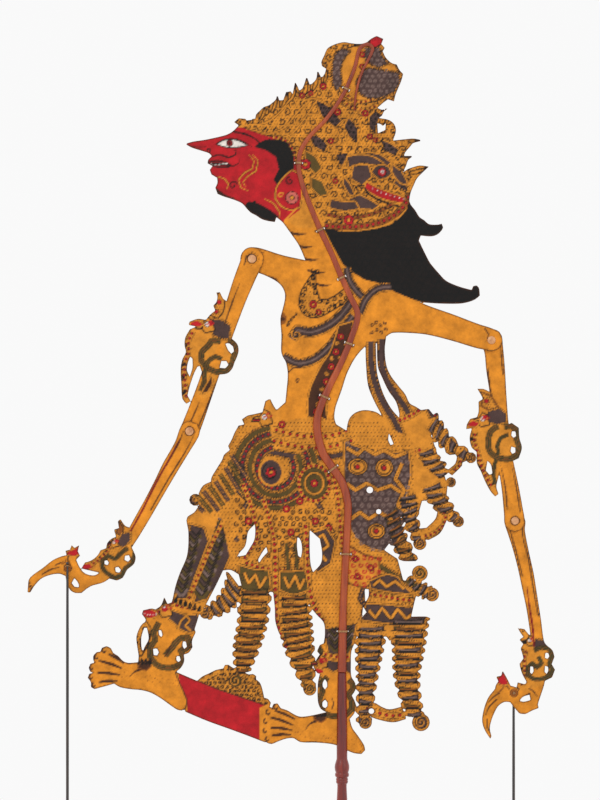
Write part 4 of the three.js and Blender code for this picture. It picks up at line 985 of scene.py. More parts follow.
def chevrons(sheet, top, low, half, count, tint=("grey", "olive", "pale_grey", "olive")):
    """Feathered stripes that meet in a V down a strip of cloth."""
    for k in range(count):
        u = (k + 0.5) / count
        x, z = (top[j] * (1 - u) + low[j] * u for j in (0, 1))
        drop = half * 1.25
        width = math.dist(top, low) / count
        for side in (-1, 1):
            run = [(x, z - drop / 2), (x + side * half * 0.5, z), (x + side * half, z + drop / 2)]
            sheet.stroke(run, width * 0.98, tint[k % len(tint)])
            sheet.stroke([(p, q + width * 0.5) for p, q in run], 0.35, "black")


def snake(sheet, flat, width=5.4, closed=False):
    """A bracelet or anklet: a rounded olive cord with a pale ridge."""
    curve = sheet.line(flat, width, "black", (1, 1), closed, 1.6)
    sheet.stroke(curve, width - 0.9, "olive", closed)
    sheet.stroke(curve, width * 0.34, "dark_gold", closed)
    sheet.stroke(curve, width * 0.12, "green", closed)
    return curve


def toes(sheet, starts, ends, nails):
    for (x0, z0), (x1, z1) in zip(starts, ends):
        sheet.line([x0, z0, (x0 + x1) / 2, (z0 + z1) / 2 + 0.7, x1, z1], 1.9, "line", (0.8, 1))
    for x, z, r in nails:
        sheet.curl(x, z, r, 1.7, 0.75, "line", 1.5)


def paint_left_leg(sheet):
    trouser = pairs([-96, 492, -104, 470, -138, 458, -140, 427, -147, 411, -155, 385, -156, 380,
        -128, 372, -118, 388, -107, 412,
                     -96, 420, -90, 440, -88, 470])
    sheet.fill(trouser, "gold")
    sheet.area([-137, 456, -124, 452, -120, 440, -130, 414, -140, 388, -150, 388, -145, 411, -137,
        427], "grey", "gold", 1.2)
    sheet.area([-100, 478, -92, 470, -96, 440, -108, 410, -121, 388, -134, 384, -124, 412, -112,
        440], "grey", "gold", 1.2)
    chevrons(sheet, (-131, 448), (-145, 392), 5.2, 15)
    chevrons(sheet, (-101, 468), (-127, 390), 6.0, 20)
    jewelled(sheet, [-100, 476, -108, 456, -118, 436, -128, 412, -138, 388], 3.6, 5.4, "gold",
        "red")
    jewelled(sheet, [-155, 386, -147, 381.5, -138, 378, -127, 376], 4.4, 5.0, "gold", "red")
    for k in range(7):
        leaf(sheet, (-154 + 4.2 * k, 386 - 1.6 * k), (-153 + 4.2 * k, 391.5 - 1.6 * k), 2.6)


def paint_left_foot(sheet):
    foot = pairs([-156, 382, -160, 390, -190, 382, -190, 336, -230, 345, -232, 305, -180, 300, -150,
        284, -139, 287, -139, 296,
                  -142.4, 304, -146.4, 313, -149.8, 322, -144, 326, -138, 338, -128, 352, -126, 376])
    sheet.fill(foot, "skin")
    # flame of the anklet in front, with a red heart
    pendant = [-176, 368, -172, 362, -173, 352, -177, 342, -181, 336, -185, 343, -186, 354, -182,
        363]
    curve = sheet.area(pendant, "gold", None)
    stipple(sheet, curve, 2.6, 0.45)
    sheet.area([-179, 362, -174, 359, -175, 354, -179, 355], "red", None)
    sheet.area([-182, 352, -177, 350, -178, 345, -181, 343], "dark_gold", None)
    for x0, z0, x1, z1 in ((-184, 357, -188, 359), (-184, 348, -189, 349), (-183, 340, -187, 339)):
        leaf(sheet, (x0, z0), (x1, z1), 2.4)
    # grey collar cloth of the ankle
    curve = sheet.area([-155, 379, -141, 374, -130, 374, -128, 366, -131, 360, -137, 357, -146, 361,
        -151, 366, -156, 370], "grey", "gold")
    sheet.line([-148, 360, -145, 368, -140, 373, -137, 369, -141, 364, -136, 359], 2.6, "black")
    sheet.line([-148, 360, -145, 368, -140, 373, -137, 369, -141, 364, -136, 359], 1.7, "gold")
    sheet.dots(curve, 2.2, 0.4, "gold")
    # bird head with its red beak
    garuda(sheet, -160, 377, 7.4, -1)
    sheet.area([-181, 377, -176, 380.5, -168, 377, -165, 373, -172, 370.5, -180, 372], "red",
        "gold", 0.8)
    sheet.dots(smooth(pairs([-179, 374.5, -172, 374, -166, 374.5])), 2.6, 0.7, "white", 0, 4)
    sheet.fill(pairs([-162, 380.4, -157.6, 380, -158, 376.4, -161.6, 376.6]), "red")
    leaf(sheet, (-160, 383), (-160.4, 389.5), 4, "olive")
    # anklet
    snake(sheet, [-164.6, 367, -169.7, 357.6, -167.9, 351, -172.3, 344.5, -172.7, 335.8, -165.7,
        328.1, -154.8, 325.9, -145, 329.2,
                  -142.2, 335.8, -145.7, 341.2, -139.5, 344, -136, 349.3, -139.1, 353.6, -146.1, 352.1, -152.6, 344.5, -159.2, 336.9])
    sheet.line([-151.5, 352, -156, 342, -159.5, 336], 1.2, "line", (0.2, 1))
    # foot: toes, ornament of the instep, heel line
    toes(sheet, [(-196, 330), (-198, 325.5), (-200, 319.5), (-202, 314)], [(-210, 338.5), (-219,
        332.5), (-220, 321.5), (-219, 313)],
         [(-213.5, 341.5, 3), (-220.5, 335.5, 3), (-225, 326, 2.8), (-225.5, 317.5, 2.6), (-223,
             310.5, 2.6)])
    sheet.line([-191.5, 317.5, -186.5, 322.5, -179, 325.5, -173.5, 329.5], 1.8, "line", (0.1, 1))
    sheet.area([-184, 326, -180, 333, -174.5, 332, -171.5, 327.5, -176, 323.5], "line", None, 0,
        "dark_gold")
    for k in range(4):
        leaf(sheet, (-183 + 3.4 * k, 329), (-184.5 + 4 * k, 334.5), 2.6, "dark_gold")
    sheet.line([-149.8, 322, -146.4, 313, -142.4, 304, -139.6, 296, -141, 289], 0.9, "line")
    for k in range(26):
        x = -205 + 2.3 * k
        sheet.dot(x, 321 - 0.35 * k + 2.5 * math.sin(3.7 * k), 0.42, "dark_gold", 4)


def paint_ground(sheet):
    # arch of gold openwork standing on the ground
    arch = [-131, 312, -126, 317, -116, 322.5, -107, 325, -102, 328.5, -97, 325.5, -86, 320.5, -79,
        319.5, -75, 313, -71, 304, -68, 297,
            -66, 288, -90, 296, -112, 304]
    sheet.fill(pairs(arch), "gold")
    scrolls(sheet, pairs(arch), 4.3, 1.75, "black", 0.6, 51, 1.15)
    sheet.line([-128, 313.5, -117, 319, -106, 322.5, -96, 322.5, -84, 317.5, -78, 312, -73, 303,
        -70, 296], 1.8, "gold")
    sheet.dots(smooth(pairs([-128, 313.5, -117, 319, -106, 322.5, -96, 322.5, -84, 317.5, -78, 312,
        -73, 303, -70, 296])), 2.4, 0.42)
    ground = pairs([-147.6, 322, -130, 314.4, -110.5, 306.4, -63, 290.4, -58, 275, -58, 262, -69.5,
        258, -87.7, 265, -100, 269.5,
                    -122, 277.5, -142, 285.5, -139, 290, -139.4, 296, -142, 304, -146, 313])
    sheet.fill(ground, "red")
    sheet.stroke([ground[0]] + ground[1:4], 0.7, "line")


def paint_right_leg(sheet):
    shin = pairs([-20, 374, -16, 356, -22, 340, -28, 328, -22, 312, -24, 290, -14, 284, -30, 282,
        -60, 297, -74, 290, -74, 256, -30,
                  256, 4, 248, 24, 244, 22, 262, 10, 278, 15, 292, 12, 300, 14, 314, 10, 330, 12, 345, 20, 374])
    sheet.fill(shin, "skin")
    sheet.area([-16, 398, 0, 400, 16, 396, 14, 372, 9, 345, 6, 338, -12, 338, -15, 352, -18, 372],
        "grey", "gold", 1.2)
    chevrons(sheet, (-9, 390), (-6, 342), 5.0, 14)
    chevrons(sheet, (8, 390), (3, 342), 5.0, 14)
    jewelled(sheet, [-17, 339, -6, 336, 4, 335.5, 11, 337], 3.6, 5.0, "gold", "red")
    curve = sheet.area([-13, 333.5, 0, 331.5, 11, 333.5, 12, 326, 7, 320, 0, 326, -8, 322, -14,
        326], "grey", "gold", 0.9)
    sheet.dots(curve, 2.2, 0.4, "gold")
    # bird head and flame
    leaf(sheet, (-19, 338), (-21, 347), 6, "olive")
    garuda(sheet, -19, 330, 6.2, -1)
    sheet.fill(pairs([-20.4, 335, -16.6, 334.6, -17, 329.8, -20, 330.2]), "red")
    sheet.area([-27, 324.6, -22, 326.2, -16, 324, -17, 321.2, -23, 321], "red", "gold", 0.7)
    sheet.area([-20, 320, -15, 316, -16, 308, -19, 301, -21, 308], "olive", "gold", 0.8)
    # anklet
    snake(sheet, [-13, 318, -18.5, 311, -17.6, 305, -20.2, 298, -19.4, 290, -14.3, 284.6, -6.5,
        282.3, 3.4, 283.4, 8.8, 288.9, 8.8,
                  296.5, 5.5, 302, 9.4, 306.2, 9.8, 311.8, 5.5, 315])
    sheet.line([-9.5, 300, -7.8, 294, -9, 289], 0.8, "line", (0.2, 1))
    # foot
    toes(sheet, [(-42, 279.6), (-44, 274.4), (-45, 269.8), (-46, 265.8)], [(-60.5, 287.6), (-64,
        281.4), (-64, 272.2), (-63.4, 265)],
         [(-59, 290.5, 3), (-66, 285.6, 3), (-68.5, 277.5, 2.8), (-69, 269, 2.6), (-67, 261.5,
             2.4)])
    sheet.line([-33.8, 269.2, -29, 275.5, -22, 278.5, -15.5, 281.8], 1.8, "line", (0.1, 1))
    sheet.area([-26, 280, -22, 285, -16.5, 284, -14, 280, -19, 276.5], "line", None, 0, "dark_gold")
    for k in range(4):
        leaf(sheet, (-25 + 3.2 * k, 282), (-26.5 + 3.8 * k, 287.5), 2.4, "dark_gold")
    for k in range(24):
        x = -42 + 2.3 * k
        sheet.dot(x, 268 - 0.4 * k + 3 * math.sin(2.9 * k), 0.42, "dark_gold", 4)


def paint_hems(sheet):
    """The dark gathered cloth that the trains hang from."""
    gathers = (
        ([-93, 419, -80, 415, -66, 414, -64, 396, -78, 392, -93, 398], "olive", [-88, 412, -84, 402,
            -78, 410, -74, 398, -68, 408]),
        ([-56, 413, -44, 413, -33, 414, -30, 396, -44, 392, -56, 396], "olive", [-52, 408, -48, 398,
            -42, 409, -38, 397, -34, 406]),
        ([16, 369, 22, 384, 40, 383, 60, 381, 68, 382, 76, 370, 60, 366, 40, 366], "grey",
         [24, 378, 30, 371, 36, 380, 44, 370, 50, 379, 58, 370, 66, 377]),
        ([24, 404, 40, 410, 50, 408, 58, 398, 64, 392, 44, 394, 26, 397], "grey", [28, 400, 34, 405,
            40, 399, 48, 404, 56, 397]),
        ([-30, 420, -22, 412, -10, 420, -6, 440, -14, 452, -26, 448], "grey", [-25, 440, -17, 446,
            -12, 436, -20, 430, -14, 422]),
    )
    for flat, paint, wave in gathers:
        curve = sheet.area(flat, paint, "gold", 1.2)
        sheet.dots(curve + curve[:1], 2.8, 0.6, "black", 1.2)
        sheet.line(wave, 3.8, "black")
        sheet.line(wave, 2.4, "gold")


def paint_body():
    sheet = Sheet("body_leather", "gold")
    paint_hair(sheet)
    paint_head(sheet)
    paint_trunk(sheet)
    paint_face(sheet)
    paint_ground(sheet)
    paint_left_leg(sheet)
    paint_left_foot(sheet)
    paint_right_leg(sheet)
    paint_tail(sheet)
    paint_skirt(sheet)
    paint_hems(sheet)
    for flat in ([87, 470, 93, 464, 92, 455, 84, 448, 74, 444], [108, 518, 106, 508, 99, 502]):
        jewelled(sheet, flat, 3.4, 4.4, "gold", "red")
    jewelled(sheet, [20, 290, 31, 286, 44, 283, 56, 284], 5.0, 6.0, "gold", "red")
    for left, right, folds, curl, paints in TRAINS:
        train(sheet, left, right, folds, curl, paints)
    # teeth along the rims of the crown and the cloth, and the contour
    for loop in sheet.loops:
        for x, z, way in along(loop + loop[:1], 2.7):
            if (z > 742 and x > -40) or (340 < z < 555 and x > -140) or (z < 340 and x > 14):
                sheet.dot(x - math.sin(way) * 2.3, z + math.cos(way) * 2.3, 0.62, "black", 4)
        sheet.stroke(loop, 1.7, "line", True)
    return sheet.build()


# ---- The four arm pieces
def limb_lines(sheet, *lines):
    for flat in lines:
        sheet.line(flat, 0.9, "line", (0.3, 1))


def finish_sheet(sheet):
    for loop in sheet.loops:
        sheet.stroke(loop, 1.4, "line", True)
    return sheet.build()


def paint_left_upper():
    sheet = Sheet("left_upper_arm", "skin")
    sheet.fill(pairs([-104, 657, -108, 668, -118, 664, -124, 640, -142, 642, -142, 600, -148, 596,
        -147, 562, -139, 562, -133, 590,
                      -118, 600, -108, 626, -100, 622, -90, 616, -92, 598, -103, 588, -113, 588, -112, 574, -124, 568, -134, 574,
                      -121, 594, -108, 596, -103, 640]), "gold")
    # shoulder flower and its chain
    sheet.area([-105, 657, -110, 664, -113, 660, -114, 650, -118, 643, -112, 640, -107, 646],
        "gold", None)
    stipple(sheet, pairs([-105, 657, -110, 664, -113, 660, -114, 650, -118, 643, -112, 640, -107,
        646]), 2.4, 0.42)
    sheet.dot(-110.5, 655, 1.9, "red", 8, "black")
    sheet.dot(-113, 646.4, 1.6, "red", 8, "black")
    # grey cloth under the armlet and the bird head
    curve = sheet.area([-100, 634, -108, 639, -116, 640, -118, 632, -116, 625, -108, 622, -101,
        622], "grey", "gold", 0.9)
    sheet.dots(curve, 2.2, 0.4, "black")
    garuda(sheet, -121.5, 633, 7.2, -1)
    sheet.area([-137, 637.2, -130, 639, -124, 635.4, -128, 632.2, -136, 633.6], "red", "gold", 0.8)
    sheet.fill(pairs([-120, 638, -116.4, 637.6, -116.6, 633.4, -119.8, 633.8]), "red")
    # jewelled chain down the front
    jewelled(sheet, [-134, 629, -138, 620, -138, 611, -140.5, 603, -142, 592, -141, 580, -140, 570],
        4.0, 4.8, "gold", "red")
    for x0, z0, x1, z1 in ((-141, 600, -146, 598), (-142, 588, -146, 584), (-141, 576, -144, 571),
        (-140, 615, -142.5, 618)):
        leaf(sheet, (x0, z0), (x1, z1), 2.8)
    # armlet
    snake(sheet, [-103, 620, -96.6, 617, -95.2, 611, -97.6, 605, -99.6, 597.6, -105, 592.4, -113,
        592.4, -121, 596, -127, 603, -126,
                  610, -121, 615, -117, 620.4, -109, 620])
    snake(sheet, [-108, 604, -114, 606, -120, 602, -123, 594, -124, 584, -127, 575], 4.4)
    sheet.area([-117, 590, -121, 583, -127, 572.5, -121, 574, -116.6, 582], "line", "gold", 0.8)
    limb_lines(sheet, [-80, 700, -86, 696, -88, 688], [-92, 672, -99, 654, -106, 634], [-128, 566,
        -134, 552, -138, 544],
               [-114, 582, -122, 560, -130, 541])
    sheet.dot(-81, 694, 4.6, "line", 14)
    for k in range(12):
        sheet.dot(-81 + 6.2 * math.cos(k * math.pi / 6), 694 + 6.2 * math.sin(k * math.pi / 6), 0.5,
            "black", 4)
    return finish_sheet(sheet)


def paint_left_fore():
    sheet = Sheet("left_forearm", "skin")
    cuff = pairs([-190, 452, -195, 455, -199, 462, -202, 458, -207, 446, -214, 434, -222, 428, -236,
        418, -236, 412, -219, 411, -212,
                  404, -196, 410, -184, 424, -184, 436])
    sheet.fill(cuff, "gold")
    stipple(sheet, pairs([-192, 450, -201, 452, -206, 443, -212, 433, -206, 426, -196, 436]), 2.6,
        0.42)
    sheet.area([-196, 452, -200, 458, -203, 448, -198, 444], "dark_gold", None)
    curve = sheet.area([-190, 449, -198, 447, -203, 438, -197, 434, -190, 440], "grey", "gold", 0.8)
    sheet.dots(curve, 2.0, 0.4, "black")
    garuda(sheet, -205, 438, 4.6, -1)
    sheet.area([-226, 421, -232, 419.4, -235, 415.4, -228, 414.6, -222, 417], "red", "gold", 0.7)
    jewelled(sheet, [-208, 436, -212, 430, -218, 424, -226, 418.6], 3.0, 4.0, "gold", "red")
    snake(sheet, [-188, 437, -186.6, 429, -188.6, 420, -195, 415.6, -197.6, 409.6, -204, 407.4,
        -210, 410.6, -215, 416, -216, 422,
                  -210, 427, -204, 424, -198, 430, -192, 434], 4.0)
    # hand: fingers, ring and its stone
    limb_lines(sheet, [-246, 430, -246.5, 424, -244, 418.5], [-237, 430, -238, 424, -236.5, 418],
        [-253, 417, -262, 414.6, -270, 410],
               [-250, 422, -258, 418.6], [-276, 402, -279, 398, -280.6, 395], [-243, 404, -240, 401,
                   -237, 402])
    sheet.area([-235, 428, -236.8, 436, -241.4, 433, -247, 431, -247.2, 427.4, -241, 426.4], "red",
        "gold", 0.8)
    sheet.stroke(smooth(pairs([-252, 419.5, -249, 421, -247.6, 424.4])), 1.3, "dark_gold")
    sheet.dot(-246.5, 416, 3.4, "dark_gold", 14, "line")
    for k in range(4):
        sheet.curl(-281 + 0.8 * k, 402 - 2.6 * k, 1.2, 0, 0.8, "line", 0.4)
    limb_lines(sheet, [-142, 541, -146, 530, -158, 508], [-131, 540, -140, 522, -156, 496, -172,
        468])
    sheet.line([-146, 532, -156, 513, -168, 491, -180, 467, -190, 449], 1.6, "deep_red", (0.4, 1))
    sheet.dot(-137.1, 539, 4.6, "line", 14)
    return finish_sheet(sheet)


def paint_right_upper():
    sheet = Sheet("right_upper_arm", "skin")
    sheet.fill(pairs([134, 575, 120, 580, 110, 552, 110, 538, 114, 520, 120, 500, 128, 490, 140,
        478, 142, 490, 141, 500, 143, 511, 160,
                      512, 164, 524, 160, 545, 145, 547]), "gold")
    curve = sheet.area([134, 571, 124, 574.5, 127, 568.4, 125, 562, 132, 558, 141, 560], "gold",
        "dark_gold", 0.8)
    stipple(sheet, curve, 2.6, 0.42)
    sheet.dot(130, 566, 1.8, "red", 8, "black")
    curve = sheet.area([131, 557, 142, 560, 148, 555, 148, 547, 140, 545, 131, 547], "grey", "gold",
        0.9)
    sheet.dots(curve, 2.2, 0.4, "black")
    garuda(sheet, 126.5, 548, 6.6, -1)
    sheet.area([113, 546, 118, 549, 124, 546.4, 121, 542.6, 114, 542.2], "red", "gold", 0.8)
    sheet.fill(pairs([126.4, 553.6, 130, 553.2, 130, 549.2, 126.6, 549.6]), "red")
    jewelled(sheet, [120, 538, 119, 530, 121.5, 522, 124, 513, 127, 504, 131, 495.6, 136, 487], 3.8,
        4.8, "gold", "red")
    for x0, z0, x1, z1 in ((118, 532, 114.6, 532), (119.6, 520, 117.6, 523.6), (124, 504, 123, 509),
        (130, 492, 127, 493.6)):
        leaf(sheet, (x0, z0), (x1, z1), 2.6)
    snake(sheet, [146, 543, 153, 543.6, 157, 540, 157, 533, 159, 525, 156.6, 517, 151, 514, 142,
        514.6, 135, 518.4, 132, 524, 132,
                  533, 135, 540, 141, 543.4])
    snake(sheet, [150, 536, 143, 533, 140, 526, 141, 518], 3.6)
    snake(sheet, [139, 514, 137, 507, 136.6, 499, 138, 491], 3.6)
    limb_lines(sheet, [142.6, 622, 143.6, 606, 145, 590], [131, 600, 133, 580, 135, 570], [143, 508,
        147, 488, 149, 468],
               [153, 508, 157, 488, 160.6, 466])
    sheet.dot(134.5, 620.8, 4.4, "line", 14)
    sheet.dot(155.9, 458.2, 4.6, "line", 14)
    sheet.dot(155, 303, 3.4, "dark_gold", 14, "line")
    return finish_sheet(sheet)


def paint_right_fore():
    sheet = Sheet("right_forearm", "skin")
    sheet.fill(pairs([176, 352, 168, 358, 158, 363, 157, 350, 160, 338, 159, 322, 156, 308, 160,
        305, 168, 305, 184, 312, 194, 322, 193,
                      342, 184, 350]), "gold")
    for x, z in ((163, 358.6), (162, 350), (163, 342), (162.6, 333), (162.4, 325), (162, 315)):
        sheet.dot(x, z, 1.3, "black", 4)
    curve = sheet.area([174, 352, 182, 351, 186, 345, 180, 342, 172, 344], "grey", "gold", 0.8)
    sheet.dots(curve, 2.0, 0.4, "black")
    garuda(sheet, 169, 349, 4.8, -1)
    jewelled(sheet, [166, 342, 164.6, 334, 164.6, 325, 164, 317, 161.6, 310.6], 3.0, 4.2, "gold",
        "red")
    snake(sheet, [173, 341, 180, 344, 187, 342.6, 189.4, 336, 186.6, 329.6, 189.4, 324, 186.8,
        318.6, 180.6, 316, 173.6, 315.6, 167.6,
                  319, 167.4, 326, 171.6, 330, 175.6, 326, 180, 330, 177, 336], 4.0)
    limb_lines(sheet, [150, 461, 152, 448, 157, 430, 162.6, 408], [163, 458, 163, 444, 168, 424,
        172, 400, 177, 372],
               [141, 313, 147, 311, 151, 306], [130, 292, 136, 299, 142, 303], [129, 282, 133, 291,
                   140, 297.6],
               [160, 297, 164, 300, 170, 303], [134, 266, 131, 272, 131, 280], [176, 300, 172, 305,
                   168, 307])
    sheet.line([166.6, 399, 169, 380, 172, 360, 173, 345], 1.6, "deep_red", (0.4, 1))
    sheet.area([150.6, 311, 148, 317, 144.8, 322.6, 142.6, 318, 139.6, 317, 140.4, 311.6, 145,
        309.6], "red", "gold", 0.8)
    sheet.stroke(smooth(pairs([140, 303, 143.6, 305.6, 146, 309])), 1.3, "dark_gold")
    sheet.dot(155.9, 458.2, 4.6, "line", 14)
    sheet.dot(155, 303, 3.4, "dark_gold", 14, "line")
    return finish_sheet(sheet)


# ---- Rods, rivets and threads
def finish_piece(name, verts, faces, finish, sharp=35):
    mesh = bpy.data.meshes.new(name)
    mesh.from_pydata([(x * MM, y * MM, z * MM) for x, y, z in verts], [], faces)
    body = bmesh.new()
    body.from_mesh(mesh)
    bmesh.ops.remove_doubles(body, verts=body.verts, dist=0.02 * MM)
    bmesh.ops.recalc_face_normals(body, faces=body.faces)
    body.to_mesh(mesh)
    body.free()
    mesh.materials.append(finish)
    mesh.polygons.foreach_set("use_smooth", [True] * len(mesh.polygons))
    mesh.set_sharp_from_angle(angle=math.radians(sharp))
    mesh.update()
    piece = bpy.data.objects.new(name, mesh)
    bpy.context.collection.objects.link(piece)
    return piece


def loft(rings, closed=False):
    """A skin over rings of equal length, capped at both ends unless it closes on itself."""
    count = len(rings[0])
    verts = [point for ring in rings for point in ring]
    faces = []
    spans = len(rings) if closed else len(rings) - 1
    for i in range(spans):
        a, b = i * count, (i + 1) % len(rings) * count
        for k in range(count):
            n = (k + 1) % count
            faces.append((a + k, a + n, b + n, b + k))
    if not closed:
        faces.append(tuple(range(count))[::-1])
        faces.append(tuple(range((len(rings) - 1) * count, len(rings) * count)))
    return verts, faces


def merged(*parts):
    verts, faces = [], []
    for more, rows in parts:
        start = len(verts)
        verts += more
        faces += [tuple(i + start for i in row) for row in rows]
    return verts, faces


def turning(profile, centre, axis, sides=32):
    """A turned solid: profile pairs are a radius and a height along the y or z axis."""
    x0, y0, z0 = centre
    rings = []
    for radius, height in profile:
        ring = []
        for k in range(sides):
            angle = 2 * math.pi * k / sides
            a, b = max(radius, 0.01) * math.cos(angle), max(radius, 0.01) * math.sin(angle)
            ring.append((x0 + a, y0 + b, z0 + height) if axis == "z" else (x0 + a, y0 + height,
                z0 - b))
        rings.append(ring)
    return loft(rings)


def thread(path, radius, closed=False, sides=7):
    """A round cord along points in space."""
    rings = []
    points = [Vector(p) for p in path]
    count = len(points)
    up = None
    for i, point in enumerate(points):
        before = points[i - 1] if closed or i else point
        after = points[(i + 1) % count] if closed or i < count - 1 else point
        way = (after - before).normalized()
        up = (up - way * up.dot(way)).normalized() if up else way.orthogonal().normalized()
        side = way.cross(up)
        rings.append([tuple(point + (up * math.cos(2 * math.pi * k / sides) + side * math.sin(2 * math.pi * k / sides)) * radius)
                      for k in range(sides)])
    return loft(rings, closed)


ROD_NECK = [
    10.8, 827, 2, 13, 845, 2.2, 18, 862, 2.4, 26, 878, 2.8, 27.4, 884.5, 3.2, 22, 887, 3.4, 16, 883, 3.5,
    12, 868, 3.5, 8, 857, 3.6, 0, 840, 3.7, -14, 820, 3.8, -30, 803, 4, -37.5, 790, 4.2, -39, 776, 4.4,
    -36, 762, 4.6, -30, 745, 4.8, -19.5, 720, 5, -10, 700, 5, -2, 681, 5.1, 7, 661, 5.2, 14, 644, 5.4,
    8, 622, 5.5, -1, 600, 5.8, -13, 576, 6.4, -21, 556, 7, -22.5, 542, 7.4, -18, 521, 7.6, -10, 508, 7.6,
    0, 493, 7.4, 5, 475, 7, 5, 460, 6.8, 4, 440, 6.6, 2.5, 410, 6.6, 1, 380, 6.8, 0.5, 350, 7.4, 0, 322.3, 8,
]  # x, z and width of the split rod, from the crown down
THICK, THIN = 3.2, 1.6  # of each half of the rod, below and above the waist
WAIST = (560, 600)


def rod_stations():
    """Points down the rod, each with its direction, width and the thickness of one half."""
    knots = [(ROD_NECK[i], ROD_NECK[i + 1]) for i in range(0, len(ROD_NECK), 3)]
    curve = smooth(knots, False, 2.2, math.pi)
    widths, k = [], 0
    for point in curve:
        if k + 1 < len(knots) and point == knots[k + 1]:
            k += 1
        n = min(k + 1, len(knots) - 1)
        span = math.dist(knots[k], knots[n]) or 1
        u = min(math.dist(knots[k], point) / span, 1)
        widths.append(ROD_NECK[3 * k + 2] * (1 - u) + ROD_NECK[3 * n + 2] * u)
    stations = []
    for point, (a, b), width in zip(curve, normals(curve), widths):
        u = min(max((point[1] - WAIST[0]) / (WAIST[1] - WAIST[0]), 0), 1)
        stations.append((point, (a, b), width, THICK * (1 - u) + THIN * u))
    return stations


def rod_half(side):
    rings = []
    stations = rod_stations()
    for i, (point, (a, b), width, thick) in enumerate(stations):
        fade = min(1, 0.35 + i / 6)
        ring = []
        for k in range(15):
            angle = math.pi * k / 14
            reach = width / 2 * math.copysign(abs(math.cos(angle)) ** 0.8, math.cos(angle)) * fade
            depth = 1.0 + thick * math.sin(angle) ** 0.75 * fade if 0 < k < 14 else 1.0
            ring.append((point[0] + a * reach, side * depth, point[1] + b * reach))
        rings.append(ring[::side])
    return loft(rings)


def tie(name):
    """Three turns of cotton round both halves of the rod, through the stitch holes, with a knot behind."""
    low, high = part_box(name)
    x, z = (low[0] + high[0]) / 2 / MM, (low[2] + high[2]) / 2 / MM
    deep = (high[1] - low[1]) / 2 / MM - 0.5
    _, (a, b), width, _ = min(rod_stations(), key=lambda s: math.dist(s[0], (x, z)))
    wide = width / 2 + 0.8
    turns, per_turn = 3, 20
    path = []
    for i in range(turns * per_turn + 1):
        angle = 2 * math.pi * i / per_turn
        c, s = math.cos(angle), math.sin(angle)
        across = wide * math.copysign(abs(c) ** 0.45, c)
        depth = deep * math.copysign(abs(s) ** 0.55, s)
        slip = (i / per_turn / turns - 0.5) * 1.5
        path.append((x + a * across - b * slip, depth, z + b * across + a * slip))
    knot = turning([(0.3, -0.75), (0.8, -0.5), (1.0, 0), (0.8, 0.5), (0.3, 0.75)], (x, deep, z),
        "y", 10)
    tails = [thread([(x, deep, z), (x + way * 1.6, deep + 0.35, z - 1.2), (x + way * 2.2,
        deep + 0.1, z - 2.8)], 0.24)
             for way in (-1, 1)]
    return merged(thread(path, 0.36), knot, *tails)


def grip():
    low = [0.4, 0, 1.6, 0.15, 2.1, 0.9, 2.35, 5, 2.6, 14, 3.0, 36, 3.4, 60, 3.9, 90, 4.3, 120, 4.65,
        146, 4.9, 170, 5, 188, 5, 200,
           4.75, 207, 4.4, 214, 4.2, 219, 4.25, 221.4, 5.0, 222.2, 5.35, 223, 5.4, 224, 5.18, 224.4, 5.18, 224.8, 5.4, 225.2, 5.38,
           226.2, 5.0, 226.9, 4.9, 227.3, 5.6, 227.8, 6.15, 228.5, 6.3, 229.6, 6.2, 230.8, 5.7, 231.7, 5.8, 232.4, 6.25, 233.6,
           6.5, 235, 6.6, 236.5, 6.5, 238, 6.2, 239.5, 5.6, 241.6, 5.0, 243.4, 4.82, 244.8, 4.85, 246]
    high = [4.85, 246, 4.9, 250, 4.9, 256, 4.8, 268, 4.6, 285, 4.4, 300, 4.2, 312, 4.05, 319, 3.9,
        321.4, 3.4, 322]
    parts = [turning(pairs(low), (0, 0, 0), "z", 40)]
    for side in (-1, 1):
        rings = []
        for radius, height in pairs(high):
            start = math.asin(1.0 / radius)
            ring = []
            for k in range(19):
                angle = start + (math.pi - 2 * start) * k / 18
                ring.append((radius * math.cos(angle), side * radius * math.sin(angle), height))
            rings.append(ring[::-side])
        parts.append(loft(rings))
    return merged(*parts)


def rivet(centre, heads):
    """A bone rivet along y: two domed heads on a pin. Each head is its radius, inner face and outer face."""
    parts = []
    for radius, inner, outer in heads:
        rise = outer - inner
        dome = [(radius * 0.98, 0), (radius, 0.18), (radius * 0.96, 0.45), (radius * 0.8, 0.76),
            (radius * 0.5, 0.94),
                (radius * 0.42, 0.9), (radius * 0.36, 0.94), (radius * 0.2, 1.0), (0, 1.0)]
        profile = [(0, inner)] + [(r, inner + rise * h) for r, h in dome]
        parts.append(turning(profile if rise < 0 else profile[::-1], (centre[0], 0, centre[1]), "y",
            28))
    low, high = sorted(inner for _, inner, _ in heads)
    parts.append(turning([(1.5, high), (1.5, low)], (centre[0], 0, centre[1]), "y", 16))
    return merged(*parts)


def washer(centre, front):
    profile = [(1.85, 0), (1.85, 0.6), (3.1, 0.6), (3.35, 0.45), (3.4, 0.3), (3.35, 0.15), (3.1, 0)]
    rings = []
    for k in range(28):
        c, s = math.cos(2 * math.pi * k / 28), math.sin(2 * math.pi * k / 28)
        rings.append([(centre[0] + r * c, front + h, centre[1] + r * s) for r, h in profile][::-1])
    return loft(rings, True)


